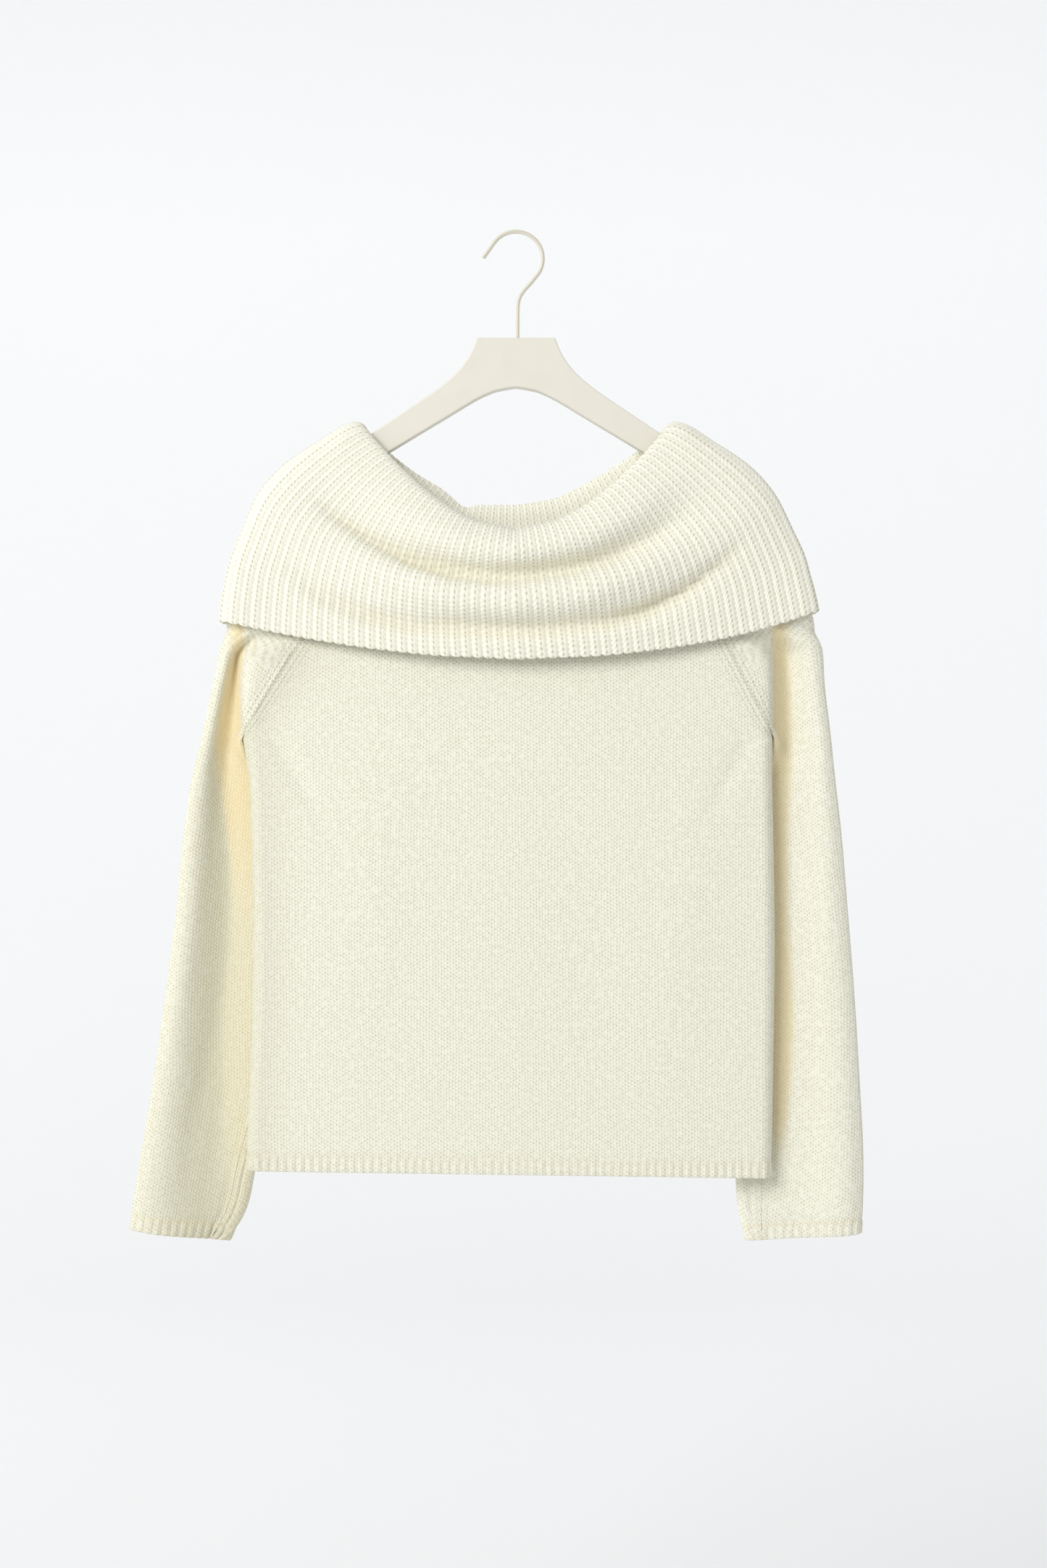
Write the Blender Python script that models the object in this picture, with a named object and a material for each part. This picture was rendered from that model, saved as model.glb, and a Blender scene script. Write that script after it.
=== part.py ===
"""Off-shoulder raglan sweater with a deep folded rib collar, on a flat hanger.

Every cloth piece is a thin wall lofted through sections. Lengths in the tables are
millimetres, +X is the image's right, +Y goes away from the viewer, +Z is up, and the
origin is the inner crown of the hanger's hook.
"""
import math

import bmesh
import bpy
import numpy as np

MM = 0.001
SEAM_GAP = 0.3
NECK_SEAM_GAP = 0.45
KNIT_COLOR = (0.86, 0.84, 0.72)
LACQUER_COLOR = (0.80, 0.78, 0.69)

# cloth
KNIT = 2.4
COLLAR_WALL = 2.6
RIB_RISE = 1.4
RIBS = 116
EDGE_RIB_RISE = 0.9
HEM_RIBS = 64
CUFF_RIBS = 34
PLAIN_COLUMNS = 80
RING_CROWDING = 0.35
SIDE_CROWDING = 0.75
HEM_BAND = 12.0
CUFF_BAND = 12.0
BAND_LEAD = 3.0

# body, measured at the outer face
UNDERARM_Z = -444.0
HEM_LEFT_Z = -830.5
HEM_RIGHT_Z = -837.0
BACK_HEM_DROP = 3.0
BODY_FRONT_Y = -10.5
BODY_BACK_Y = 9.0
SEAM_FRONT_X = 155.0
SEAM_BACK_X = 140.0

# hanger
HANGER_THICK = 12.6
ARM_END_X = 203.0
NOSE_R = 6.0
EDGE_ROUNDING = 1.2
WIRE_D = 3.8
HOOK_R = 24.0

# side edges of the body, outer face: height, left x, right x
BODY_COLUMNS = ("z", "left", "right")
BODY_TABLE = (
    (-268.0, -221.0, 221.0),
    (-372.0, -243.0, 228.0),
    (-444.0, -243.0, 228.0),
    (-480.0, -237.5, 227.5),
    (-530.0, -235.5, 228.5),
    (-628.0, -233.5, 229.8),
    (-731.0, -235.5, 228.5),
    (-800.0, -238.5, 227.5),
    (-840.0, -239.5, 226.6),
)

# sleeves from the neckline to the cuff, all distances out from x = 0, outer faces:
# height at the outer fold, outermost fold, bottom of the valley beside the body and its
# depth, and the fold that lies hidden behind the body
SLEEVE_COLUMNS = ("z", "outer", "valley", "valley_y", "inner", "back_y")
SLEEVE_LEFT_TABLE = (
    (-268.0, 221.0, 219.0, 1.0, 200.0, 12.0),
    (-303.0, 241.0, 236.0, 3.0, 205.0, 13.0),
    (-338.0, 253.0, 245.0, 7.0, 207.0, 16.0),
    (-373.0, 262.4, 249.5, 10.5, 226.0, 20.5),
    (-409.0, 271.2, 253.5, 12.0, 208.0, 23.0),
    (-444.0, 278.5, 256.0, 12.5, 194.0, 24.5),
    (-487.0, 288.6, 257.0, 12.5, 190.0, 24.5),
    (-526.0, 294.4, 256.0, 12.5, 188.0, 24.5),
    (-603.0, 302.1, 256.0, 12.5, 190.0, 24.5),
    (-679.0, 312.0, 258.0, 12.0, 199.0, 24.5),
    (-756.0, 322.6, 261.0, 11.5, 213.0, 24.5),
    (-833.0, 334.0, 266.0, 10.0, 233.0, 24.5),
    (-871.0, 340.0, 272.0, 9.0, 242.0, 24.5),
    (-897.0, 343.0, 280.0, 8.0, 256.0, 24.5),
)
SLEEVE_RIGHT_TABLE = (
    (-268.0, 221.0, 219.0, 1.0, 200.0, 12.0),
    (-303.0, 244.0, 235.0, 3.0, 203.0, 13.0),
    (-338.0, 259.5, 239.0, 7.0, 203.0, 16.0),
    (-373.0, 269.6, 240.0, 10.0, 212.0, 20.5),
    (-409.0, 275.0, 240.0, 11.0, 190.0, 23.5),
    (-444.0, 279.5, 240.0, 11.5, 186.0, 24.5),
    (-487.0, 284.0, 240.0, 11.5, 182.0, 24.5),
    (-526.0, 288.5, 240.0, 11.5, 180.0, 24.5),
    (-603.0, 295.0, 240.0, 11.5, 182.0, 24.5),
    (-679.0, 301.0, 240.0, 11.5, 186.0, 24.5),
    (-756.0, 305.5, 241.0, 11.0, 191.0, 24.5),
    (-833.0, 308.8, 242.0, 10.0, 196.0, 24.5),
    (-871.0, 308.4, 244.0, 9.0, 199.0, 24.5),
    (-897.0, 307.0, 248.0, 8.0, 205.0, 24.5),
)
CUFF_INNER_Z = -897.0
CUFF_OUTER_Z = {-1: -884.0, 1: -887.5}
CUFF_SLOPE_Z = (700.0, 890.0)
RIDGE_Y = -4.0
SLEEVE_RETURN_Y = 14.0
NECK_SHARES = (0.4, 0.64)
BACK_BULGE = 4.0
BULGE_SHARE = 0.38
PLEAT_SHARES = (0.22, 0.42)
PLEAT_RUN = 40.0
DROP_Z = (450.0, 487.0)
UNDERARM_R = 12.6
UNDERARM_TURN = 75.0
CLOSED_ROWS = (-451.0, -465.0, -487.0, -526.0, -603.0, -679.0, -756.0, -833.0)

# rows of the panels: share of the raglan's height above the underarm, and share of the
# side's height below it
RAGLAN_ROWS = (1.0, 0.82, 0.62, 0.42, 0.32, 0.22, 0.06)
SIDE_ROWS = (0.02, 0.09, 0.2, 0.45, 0.7, 0.9)

# collar from the neckline seam up inside, over the fold and down the outer fall:
# half width and height at the sides, extra width on the right, then for the front and
# the back the depth round the sides and the depth and height at the middle, and whether
# ribs are raised there
COLLAR_COLUMNS = (
    "side", "side_z", "right_extra", "front_end", "front_y", "front_z", "back_end", "back_y", "back_z", "ribbed",
)
COLLAR_TABLE = (
    (221.0, -268.0, 0.0, 10.5, -11.5, -350.0, 10.5, 12.0, -325.0, 0),
    (213.5, -246.0, 0.0, 10.5, -13.0, -335.0, 10.5, 13.0, -311.0, 0),
    (209.0, -225.0, 0.0, 10.5, -14.0, -318.0, 10.5, 13.5, -297.0, 0),
    (190.0, -212.0, 0.0, 10.5, -15.0, -303.0, 10.5, 14.0, -283.0, 0),
    (163.0, -193.5, 0.0, 10.5, -16.0, -287.0, 10.5, 14.5, -265.0, 1),
    (146.0, -183.0, 0.0, 10.5, -19.0, -274.0, 10.5, 16.0, -248.0, 1),
    (133.5, -176.5, 0.0, 13.5, -26.0, -267.0, 13.5, 20.5, -240.5, 1),
    (141.5, -171.0, 0.0, 17.5, -35.0, -271.0, 17.0, 25.0, -243.0, 1),
    (168.0, -187.5, 0.0, 19.0, -40.5, -284.0, 18.5, 28.0, -257.0, 1),
    (205.0, -215.0, 0.0, 18.0, -31.0, -305.5, 18.5, 29.5, -283.0, 1),
    (228.0, -241.0, 1.0, 18.0, -40.0, -325.0, 19.0, 30.5, -307.0, 1),
    (248.5, -286.0, 2.5, 17.0, -30.5, -350.5, 19.5, 31.5, -337.0, 1),
    (254.0, -316.0, 4.0, 17.0, -31.5, -364.0, 20.0, 32.0, -356.0, 1),
    (257.5, -343.5, 7.0, 16.5, -28.5, -377.5, 20.5, 32.0, -373.0, 1),
)
# how much higher the right side of the free edge hangs, how square the ring's ends are, how
# the middle swells out, how far the cloth lies level over the hanger's arm, and how the fold
# line bows at the front and the back
COLLAR_RIGHT_RISE = 9.0
COLLAR_BLUNT = 6.0
COLLAR_SWELL = 1.3
OVER_ARM = 9.0
OVER_ARM_SOFT = 4.0
FRONT_BOW = 1.8
BACK_BOW = 2.1
# the small dip in the fold line at the back: middle, half width and depth
BACK_DIP = (-47.0, 13.0, 9.0)
ARC_POINTS = 181
SECTION_POINTS = 241

# hanger outline, right half: x and z from the plateau's corner round to the arch
HANGER_SHOULDER = ((34.8, -93.5), (38.0, -102.0), (43.5, -112.5), (52.0, -123.5), (68.0, -137.5), (88.0, -151.5))
HANGER_TOP_END_Z = -226.6
HANGER_BOTTOM_END_Z = -249.5
HANGER_ARCH = ((115.0, -196.0), (76.0, -172.5), (56.0, -160.5), (37.0, -149.0), (19.0, -140.5), (0.0, -137.0))


def material(name, color, roughness):
    """Plain Principled material for one kind of piece."""
    mat = bpy.data.materials.new(name)
    mat.use_nodes = True
    shader = mat.node_tree.nodes["Principled BSDF"]
    shader.inputs["Base Color"].default_value = (*color, 1.0)
    shader.inputs["Roughness"].default_value = roughness
    shader.inputs["Metallic"].default_value = 0.0
    return mat


def smooth_path(points, places, closed=False):
    """Points of a smooth curve at places counted in its own points from 0."""
    pts = np.asarray(points, dtype=float)
    chord = np.linalg.norm(np.diff(pts, axis=0), axis=1)[:, None]
    run = np.diff(pts, axis=0) / chord
    tangent = np.zeros_like(pts)
    tangent[1:-1] = (run[1:] * chord[:-1] + run[:-1] * chord[1:]) / (chord[1:] + chord[:-1])
    if closed:
        tangent[0] = (run[0] * chord[-1] + run[-1] * chord[0]) / (chord[0] + chord[-1])
        tangent[-1] = tangent[0]
    else:
        tangent[0] = run[0]
        tangent[-1] = run[-1]
    k = np.clip(np.floor(places).astype(int), 0, len(pts) - 2)
    t = (places - k)[:, None]
    start = (1 + 2 * t) * (1 - t) ** 2 * pts[k] + t * (1 - t) ** 2 * chord[k] * tangent[k]
    end = t * t * (3 - 2 * t) * pts[k + 1] + t * t * (t - 1) * chord[k] * tangent[k + 1]
    return start + end


def along(dense, fractions):
    """Points at fractions of the length of a polyline."""
    steps = np.linalg.norm(np.diff(dense, axis=0), axis=1)
    length = np.concatenate(([0.0], np.cumsum(steps)))
    want = np.asarray(fractions) * length[-1]
    return np.stack([np.interp(want, length, dense[:, k]) for k in range(3)], axis=1)


def read(table, columns, name, z):
    """One column of a table at a height, by smooth steps between its rows."""
    rows = sorted(table)
    heights = [row[0] for row in rows]
    values = np.array([row[columns.index(name)] for row in rows], dtype=float)
    slopes = np.gradient(values, heights)
    k = int(np.clip(np.searchsorted(heights, z) - 1, 0, len(rows) - 2))
    span = heights[k + 1] - heights[k]
    t = float(np.clip((z - heights[k]) / span, 0.0, 1.0))
    low = (1 + 2 * t) * (1 - t) ** 2 * values[k] + t * (1 - t) ** 2 * span * slopes[k]
    high = t * t * (3 - 2 * t) * values[k + 1] + t * t * (t - 1) * span * slopes[k + 1]
    return low + high


def ease(value, low, high):
    """Smooth step from 0 at low to 1 at high."""
    t = np.clip((value - low) / (high - low), 0.0, 1.0)
    return t * t * (3 - 2 * t)


def collar_ring(row, fractions_half):
    """One closed section of the collar: right side, front, left side, back."""
    value = dict(zip(COLLAR_COLUMNS, row))
    halves = []
    for front in (True, False):
        angle = np.linspace(0.0, math.pi, ARC_POINTS)
        c = np.cos(angle)
        s = np.sin(angle)
        power = 2.0 / COLLAR_BLUNT
        half_width = np.where(c > 0, value["side"] + value["right_extra"], value["side"])
        across = np.sign(c) * np.abs(c) ** power
        x = half_width * across
        mid_y = value["front_y"] if front else value["back_y"]
        mid_z = value["front_z"] if front else value["back_z"]
        ends = value["front_end"] if front else value["back_end"]
        swell = (abs(mid_y) - ends) * (1 - across ** 2) ** COLLAR_SWELL
        y = math.copysign(1.0, mid_y) * (ends * np.abs(s) ** power + swell)
        steps = np.hypot(np.diff(x), np.diff(y))
        run = np.concatenate(([0.0], np.cumsum(steps)))
        reach = np.minimum(run, run[-1] - run)
        past_arm = 0.5 * (reach - OVER_ARM + np.hypot(reach - OVER_ARM, OVER_ARM_SOFT))
        fall = past_arm / past_arm.max()
        lift = COLLAR_RIGHT_RISE * ease(-value["side_z"], 230.0, 340.0)
        side_z = value["side_z"] + np.where(c > 0, lift * c, 0.0)
        bow = FRONT_BOW if front else BACK_BOW
        z = mid_z + (side_z - mid_z) * (1 - fall) ** bow
        if not front:
            dip_x, dip_half, dip_depth = BACK_DIP
            near_fold = ease(mid_z, -300.0, -250.0)
            z = z - near_fold * dip_depth * np.exp(-((x - dip_x) / dip_half) ** 2)
        half = np.stack((x, y, z), axis=1)
        if not front:
            half = half[::-1]
        halves.append(along(half, fractions_half)[:-1])
    return np.vstack(halves)


def wall_normals(grid, before, after):
    """Unit normals of a grid of rows; before and after are the columns past its ends."""
    wide = np.concatenate((before[:, None], grid, after[:, None]), axis=1)
    across = wide[:, 2:] - wide[:, :-2]
    down = np.gradient(grid, axis=0)
    normal = np.cross(across, down)
    return normal / np.linalg.norm(normal, axis=2, keepdims=True)


class Wall:
    """Collects the points and faces of one thin closed wall."""

    def __init__(self):
        self.points = []
        self.faces = []

    def row(self, points, places, joined):
        """A row of points with their places along it; a joined one ends where it starts."""
        first = len(self.points)
        kept = points[:-1] if joined else points
        self.points.extend(tuple(float(v) * MM for v in point) for point in kept)
        numbers = list(range(first, len(self.points)))
        return (numbers + numbers[:1] if joined else numbers), list(places)

    def strip(self, upper, lower):
        """Triangles between two rows, with fans where one has more points than the other."""
        a, place_a = upper
        b, place_b = lower
        if len(a) == len(b):
            place_b = place_a
        i = 0
        j = 0
        while i < len(a) - 1 or j < len(b) - 1:
            here_a = place_a[i + 1] if i < len(a) - 1 else math.inf
            here_b = place_b[j + 1] if j < len(b) - 1 else math.inf
            if math.isclose(here_a, here_b, abs_tol=1e-6):
                if self.apart(a[i], b[j + 1]) < self.apart(a[i + 1], b[j]):
                    self.add(a[i], b[j], b[j + 1])
                    self.add(a[i], b[j + 1], a[i + 1])
                else:
                    self.add(a[i], b[j], a[i + 1])
                    self.add(b[j], b[j + 1], a[i + 1])
                i += 1
                j += 1
            elif here_a < here_b:
                self.add(a[i], b[j], a[i + 1])
                i += 1
            else:
                self.add(a[i], b[j], b[j + 1])
                j += 1

    def apart(self, one, other):
        """Distance between two points by their numbers."""
        return math.dist(self.points[one], self.points[other])

    def skin(self, face_rows, back_rows):
        """The two faces of the wall and the narrow strips along its two ends."""
        for upper, lower in zip(face_rows, face_rows[1:]):
            self.strip(lower, upper)
        for upper, lower in zip(back_rows, back_rows[1:]):
            self.strip(upper, lower)
        self.strip(face_rows[0], back_rows[0])
        self.strip(back_rows[-1], face_rows[-1])

    def add(self, *corners):
        kept = [c for k, c in enumerate(corners) if c != corners[k - 1]]
        if len(set(kept)) >= 3:
            self.faces.append(kept)

    def build(self, name, mat, collection):
        mesh = bpy.data.meshes.new(name)
        mesh.from_pydata(self.points, [], self.faces)
        mesh.validate()
        mesh.shade_smooth()
        mesh.set_sharp_from_angle(angle=math.radians(50))
        mesh.materials.append(mat)
        obj = bpy.data.objects.new(name, mesh)
        collection.objects.link(obj)
        return obj


def crowded(count, crowding):
    """Fractions from 0 to 1 that lie closer together towards both ends."""
    t = np.linspace(0.0, 1.0, count)
    return t - crowding * np.sin(2 * math.pi * t) / (2 * math.pi)


def collar_columns():
    """Fractions of half a ring for the plain columns and for the ribbed ones."""
    return crowded(PLAIN_COLUMNS // 2 + 1, RING_CROWDING), np.linspace(0.0, 1.0, RIBS + 1)


def whole_ring(half):
    """Fractions of a whole closed ring from those of its two halves."""
    return np.concatenate((half[:-1] / 2, 0.5 + half[:-1] / 2, [1.0]))


def build_collar(mat, collection):
    """Rib tube: plain where it is hidden inside, ribs raised from the fold downwards."""
    plain, ribbed = collar_columns()
    coarse = np.array([collar_ring(row, plain) for row in COLLAR_TABLE])
    fine = np.array([collar_ring(row, ribbed) for row in COLLAR_TABLE])
    coarse_normal = wall_normals(coarse, coarse[:, -1], coarse[:, 0])
    fine_normal = wall_normals(fine, fine[:, -1], fine[:, 0])
    plain_places = whole_ring(plain)
    ribbed_places = whole_ring(ribbed)
    step = np.arange(2 * RIBS)
    crest = (step % 2 == 0).astype(float)
    from_side = np.minimum(step % RIBS, RIBS - step % RIBS) / RIBS * 2
    over_arm = 1.0 - ease(from_side, 0.12, 0.25)
    ribbed_rows = [row[COLLAR_COLUMNS.index("ribbed")] for row in COLLAR_TABLE]
    last_on_arm = ribbed_rows.index(1) + 1
    wall = Wall()
    face_rows = []
    back_rows = []
    for k, has_ribs in enumerate(ribbed_rows):
        if k == len(ribbed_rows) - 1:
            back = fine[k] - fine_normal[k] * COLLAR_WALL / 2
            back_rows.append(wall.row(closed_up(back), ribbed_places, True))
        else:
            back = coarse[k] - coarse_normal[k] * COLLAR_WALL / 2
            back_rows.append(wall.row(closed_up(back), plain_places, True))
        if has_ribs:
            rise = RIB_RISE * crest * (1.0 - over_arm * (k <= last_on_arm))
            face = fine[k] + fine_normal[k] * (COLLAR_WALL / 2 + rise)[:, None]
            face_rows.append(wall.row(closed_up(face), ribbed_places, True))
        else:
            face = coarse[k] + coarse_normal[k] * COLLAR_WALL / 2
            face_rows.append(wall.row(closed_up(face), plain_places, True))
    wall.skin(face_rows, back_rows)
    return wall.build("collar", mat, collection)


def closed_up(ring):
    """A ring with its first point repeated at its end."""
    return np.vstack((ring, ring[:1]))


def body_edge(z, side):
    """Middle of the wall at the body's side, out from x = 0."""
    name = "left" if side < 0 else "right"
    return abs(read(BODY_TABLE, BODY_COLUMNS, name, z)) - KNIT / 2


def roll_y(x, edge, depth):
    """How far the body's rounded side stands from y = 0 at x."""
    past = min(max(0.0, x - (edge - depth)), depth)
    return math.sqrt(depth ** 2 - past ** 2)


def body_half(z, front, count, stops):
    """Section of the front, right to left, or of the back, left to right."""
    depth = abs(BODY_FRONT_Y) if front else BODY_BACK_Y
    edges = (body_edge(z, -1), body_edge(z, 1))
    pts = []
    for x in np.sin(np.linspace(-math.pi / 2, math.pi / 2, SECTION_POINTS)):
        edge = edges[1] if x > 0 else edges[0]
        px = min(max(x * edge, -stops[0]), stops[1])
        y = roll_y(abs(px), edge, depth)
        pts.append((px, -y if front else y, z))
    pts = np.array(pts)
    return along(pts[::-1] if front else pts, crowded(count, SIDE_CROWDING))


def neck_marks(neck):
    """Columns of the neckline where the four raglan seams end."""
    half = len(neck) // 2
    front = int(np.argmin(np.abs(neck[: half // 2, 0] - SEAM_FRONT_X)))
    back = int(np.argmin(np.abs(neck[half: half + half // 2, 0] + SEAM_BACK_X)))
    return front, half - front, half + back, len(neck) - back


def neck_blend(share):
    """How far a row has taken the neckline's own shape."""
    return float(ease(share, *NECK_SHARES))


def widened(neck, seams, outer):
    """The neckline's curve round a shoulder, spread to a row's own seams and outer fold."""
    far = np.abs(neck[:, 0])
    tip = int(np.argmax(far))
    start = np.where(np.arange(len(neck)) <= tip, far[0], far[-1])
    want = np.where(np.arange(len(neck)) <= tip, seams[0], seams[1])
    return want + (far - start) / (far[tip] - start) * (outer - want)


def behind_tip(neck):
    """How far each of a sleeve's columns counts as its back: 0 at the tip and at the seam."""
    tip = int(np.argmax(np.abs(neck[:, 0])))
    part = np.clip((np.arange(len(neck)) - tip) / (len(neck) - 1 - tip), 0.0, 1.0)
    return np.sin(math.pi * part) ** 0.7


def panel_grid(neck, front):
    """Rows of the front or the back, from the neckline to the hem."""
    count = len(neck)
    side_top = COLLAR_TABLE[0][1]
    ends = (abs(neck[-1 if front else 0, 0]), abs(neck[0 if front else -1, 0]))
    rows = []
    for share in RAGLAN_ROWS:
        z_side = UNDERARM_Z + (side_top - UNDERARM_Z) * share
        under = (body_edge(UNDERARM_Z, -1), body_edge(UNDERARM_Z, 1))
        stops = [u + (e - u) * share for u, e in zip(under, ends)]
        row = body_half(z_side, front, count, stops)
        blend = neck_blend(share)
        plain = neck.copy()
        if share < 1.0:
            plain[:, 0] = np.interp(neck[:, 0], np.sort(neck[[0, -1], 0]), (-stops[0], stops[1]))
        row = row * (1 - blend) + plain * blend
        row[:, 2] = UNDERARM_Z + (neck[:, 2] - UNDERARM_Z) * share
        rows.append(row)
    for share in SIDE_ROWS:
        rows.append(low_row(share, front, count))
    for rise in (HEM_BAND + BAND_LEAD, HEM_BAND, 0.0):
        row = low_row(1.0, front, count)
        row[:, 2] += rise
        rows.append(row)
    return np.array(rows)


def low_row(share, front, count):
    """A row of a panel below the underarm, level at the top and at the hem's slope."""
    start = UNDERARM_Z - 3.0
    middle = (HEM_LEFT_Z + HEM_RIGHT_Z) / 2
    z = start + (middle - start) * share
    row = body_half(z, front, count, (math.inf, math.inf))
    lean = (row[:, 0] - row[:, 0].min()) / np.ptp(row[:, 0])
    hem = HEM_LEFT_Z + (HEM_RIGHT_Z - HEM_LEFT_Z) * lean
    if not front:
        hem = hem - BACK_HEM_DROP * np.sin(math.pi * lean) ** 2
    row[:, 2] = start + (hem - start) * share
    return row


def round_body(centre, start_angle, distance):
    """A point on the sleeve's inner side, carried round the body's rounded back corner."""
    corner = (math.pi / 2 - start_angle) * UNDERARM_R
    if distance < corner:
        angle = start_angle + distance / UNDERARM_R
        return centre + UNDERARM_R * math.cos(angle), UNDERARM_R * math.sin(angle)
    return centre - (distance - corner), UNDERARM_R


def sleeve_section(table, side, z, share, seams):
    """Section of a sleeve through its named folds, from the front seam round to the back."""
    edge = body_edge(z, side)
    outer = read(table, SLEEVE_COLUMNS, "outer", z) - KNIT / 2
    valley = read(table, SLEEVE_COLUMNS, "valley", z)
    valley_y = read(table, SLEEVE_COLUMNS, "valley_y", z)
    inner = read(table, SLEEVE_COLUMNS, "inner", z) + KNIT / 2
    back_y = read(table, SLEEVE_COLUMNS, "back_y", z)
    middle = (outer + inner) / 2
    front_depth = abs(BODY_FRONT_Y)
    if seams is not None:
        front_x, back_x = seams
        turned = math.asin(np.clip((front_x - edge + front_depth) / front_depth, 0.0, 1.0))
        half_way = (turned + math.pi / 2) / 2
        roll_x = edge - front_depth + front_depth * math.sin(half_way)
        start = [
            (front_x, -roll_y(front_x, edge, front_depth), 0.0),
            (roll_x, -front_depth * math.cos(half_way), 0.45),
            (edge + 0.6, -0.5, 0.6),
        ]
        back_end_y = roll_y(back_x, edge, BODY_BACK_Y)
        turn_x = max((edge + back_x) / 2, edge - 6.0)
        end = [
            (inner + 6.5, SLEEVE_RETURN_Y, 0.4),
            ((inner + edge) / 2, SLEEVE_RETURN_Y, 0.3),
            (edge - 4.5, SLEEVE_RETURN_Y, 0.2),
            (edge - 1.0, 11.6, 0.15),
            (turn_x, roll_y(turn_x, edge, BODY_BACK_Y) + 0.4, 0.1),
            (back_x, back_end_y, 0.0),
        ]
    else:
        drop = float(ease(-z, *DROP_Z))
        centre = edge - BODY_BACK_Y
        turned = math.radians(UNDERARM_TURN * drop)
        under_x = centre + UNDERARM_R * math.cos(turned)
        under_y = UNDERARM_R * math.sin(turned)
        if under_x < inner + 15.0:
            centre += inner + 15.0 - under_x
            under_x = inner + 15.0
        valley = max(valley, under_x + 9.0)
        back_in = inner + 6.5
        gap = under_x - back_in
        near = round_body(centre, turned, min(6.0, gap * 0.25))
        far = round_body(centre, turned, min(13.0, gap * 0.5))
        start = [
            (under_x, under_y, 0.0),
            (under_x + 3.5, under_y + 2.0 * (1.0 - drop), 0.0),
            ((under_x + valley) / 2 + 1.0, (under_y + valley_y) / 2 + 0.5 * (1.0 - drop), 0.0),
        ]
        end = [
            (back_in, SLEEVE_RETURN_Y, 0.4),
            (back_in + (far[0] - back_in) / 3, SLEEVE_RETURN_Y, 0.0),
            (back_in + (far[0] - back_in) * 2 / 3, SLEEVE_RETURN_Y, 0.0),
            (*far, 0.0),
            (*near, 0.0),
            start[0],
        ]
    path = start + [
        (valley, valley_y, 0.8),
        (outer - 4.5, RIDGE_Y + 0.5, 0.95),
        (outer - 1.0, RIDGE_Y + 2.5, 1.0),
        (outer, 6.0, 1.0),
        (outer - 5.5, back_y - 8.0, 0.97),
    ]
    pleated = path + [
        (middle, back_y - 0.5, 0.75),
        (inner + 7.0, back_y, 0.5),
        (inner, (back_y + SLEEVE_RETURN_Y) / 2, 0.45),
    ] + end
    if seams is None:
        return np.array(pleated)
    top_x = min(outer - 16.0, back_x + PLEAT_RUN)
    sloped = list(path)
    for part in np.linspace(0.0, 1.0, 9):
        y = back_y - 0.5 + (back_end_y - back_y + 0.5) * float(ease(part, 0.0, 1.0))
        sloped.append((top_x + (back_x - top_x) * part, y, 0.9 * (1.0 - part)))
    weight = float(ease(share, *PLEAT_SHARES))
    return np.array(sloped) * weight + np.array(pleated) * (1.0 - weight)


def sleeve_grid(neck, table, side):
    """Rows of a sleeve from the neckline to the cuff, each from front seam to back seam."""
    count = len(neck)
    under = body_edge(UNDERARM_Z, side)
    side_top = neck[np.argmax(np.abs(neck[:, 0])), 2]
    rows = []
    for share in RAGLAN_ROWS:
        z = UNDERARM_Z + (side_top - UNDERARM_Z) * share
        seams = [under + (abs(end[0]) - under) * share for end in (neck[0], neck[-1])]
        path = sleeve_section(table, side, z, share, seams)
        places = np.linspace(0.0, len(path) - 1.0, count)
        row = smooth_path(path, places)
        seam_z = [UNDERARM_Z + (end[2] - UNDERARM_Z) * share for end in (neck[0], neck[-1])]
        base = seam_z[0] + (seam_z[1] - seam_z[0]) * np.linspace(0.0, 1.0, count)
        row[:, 2] = base + (z - base) * np.clip(row[:, 2], 0.0, 1.0)
        outer = read(table, SLEEVE_COLUMNS, "outer", z) - KNIT / 2
        plain = neck.copy()
        plain[:, 0] = neck[:, 0] * side if share == 1.0 else widened(neck, seams, outer)
        plain[:, 2] = UNDERARM_Z + (neck[:, 2] - UNDERARM_Z) * share
        plain[:, 1] += BACK_BULGE * min(1.0, (1.0 - share) / BULGE_SHARE) * behind_tip(neck)
        blend = neck_blend(share)
        row = row * (1 - blend) + plain * blend
        row[:, 0] *= side
        rows.append(row)
    lows = list(CLOSED_ROWS) + [CUFF_INNER_Z + rise for rise in (CUFF_BAND + BAND_LEAD, CUFF_BAND, 0.0)]
    for z in lows:
        path = sleeve_section(table, side, z, 0.0, None)
        row = smooth_path(path, np.linspace(0.0, len(path) - 1.0, count), closed=True)
        slope = float(ease(-z, *CUFF_SLOPE_Z)) * (CUFF_OUTER_Z[side] - CUFF_INNER_Z)
        reach = (row[:, 0] - row[:, 0].min()) / np.ptp(row[:, 0])
        row[:, 2] = z + slope * reach
        row[:, 0] *= side
        rows.append(row)
    return np.array(rows)


def run_of(points):
    """Places of a row's points along its own length, from 0 to 1."""
    steps = np.linalg.norm(np.diff(points, axis=0), axis=1)
    length = np.concatenate(([0.0], np.cumsum(steps)))
    return length / length[-1]


def edge_ribs(points, out, ribs):
    """Finer points for the two faces of the knitted-on edge, every second outer one raised."""
    have = run_of(points)
    want = np.linspace(0.0, 1.0, 2 * ribs + 1)
    crest = (np.arange(len(want)) % 2).astype(float)
    mid = np.stack([np.interp(want, have, points[:, k]) for k in range(3)], axis=1)
    push = np.stack([np.interp(want, have, out[:, k]) for k in range(3)], axis=1)
    return mid + push * (KNIT / 2 + EDGE_RIB_RISE * crest)[:, None], mid - push * KNIT / 2, want


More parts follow.
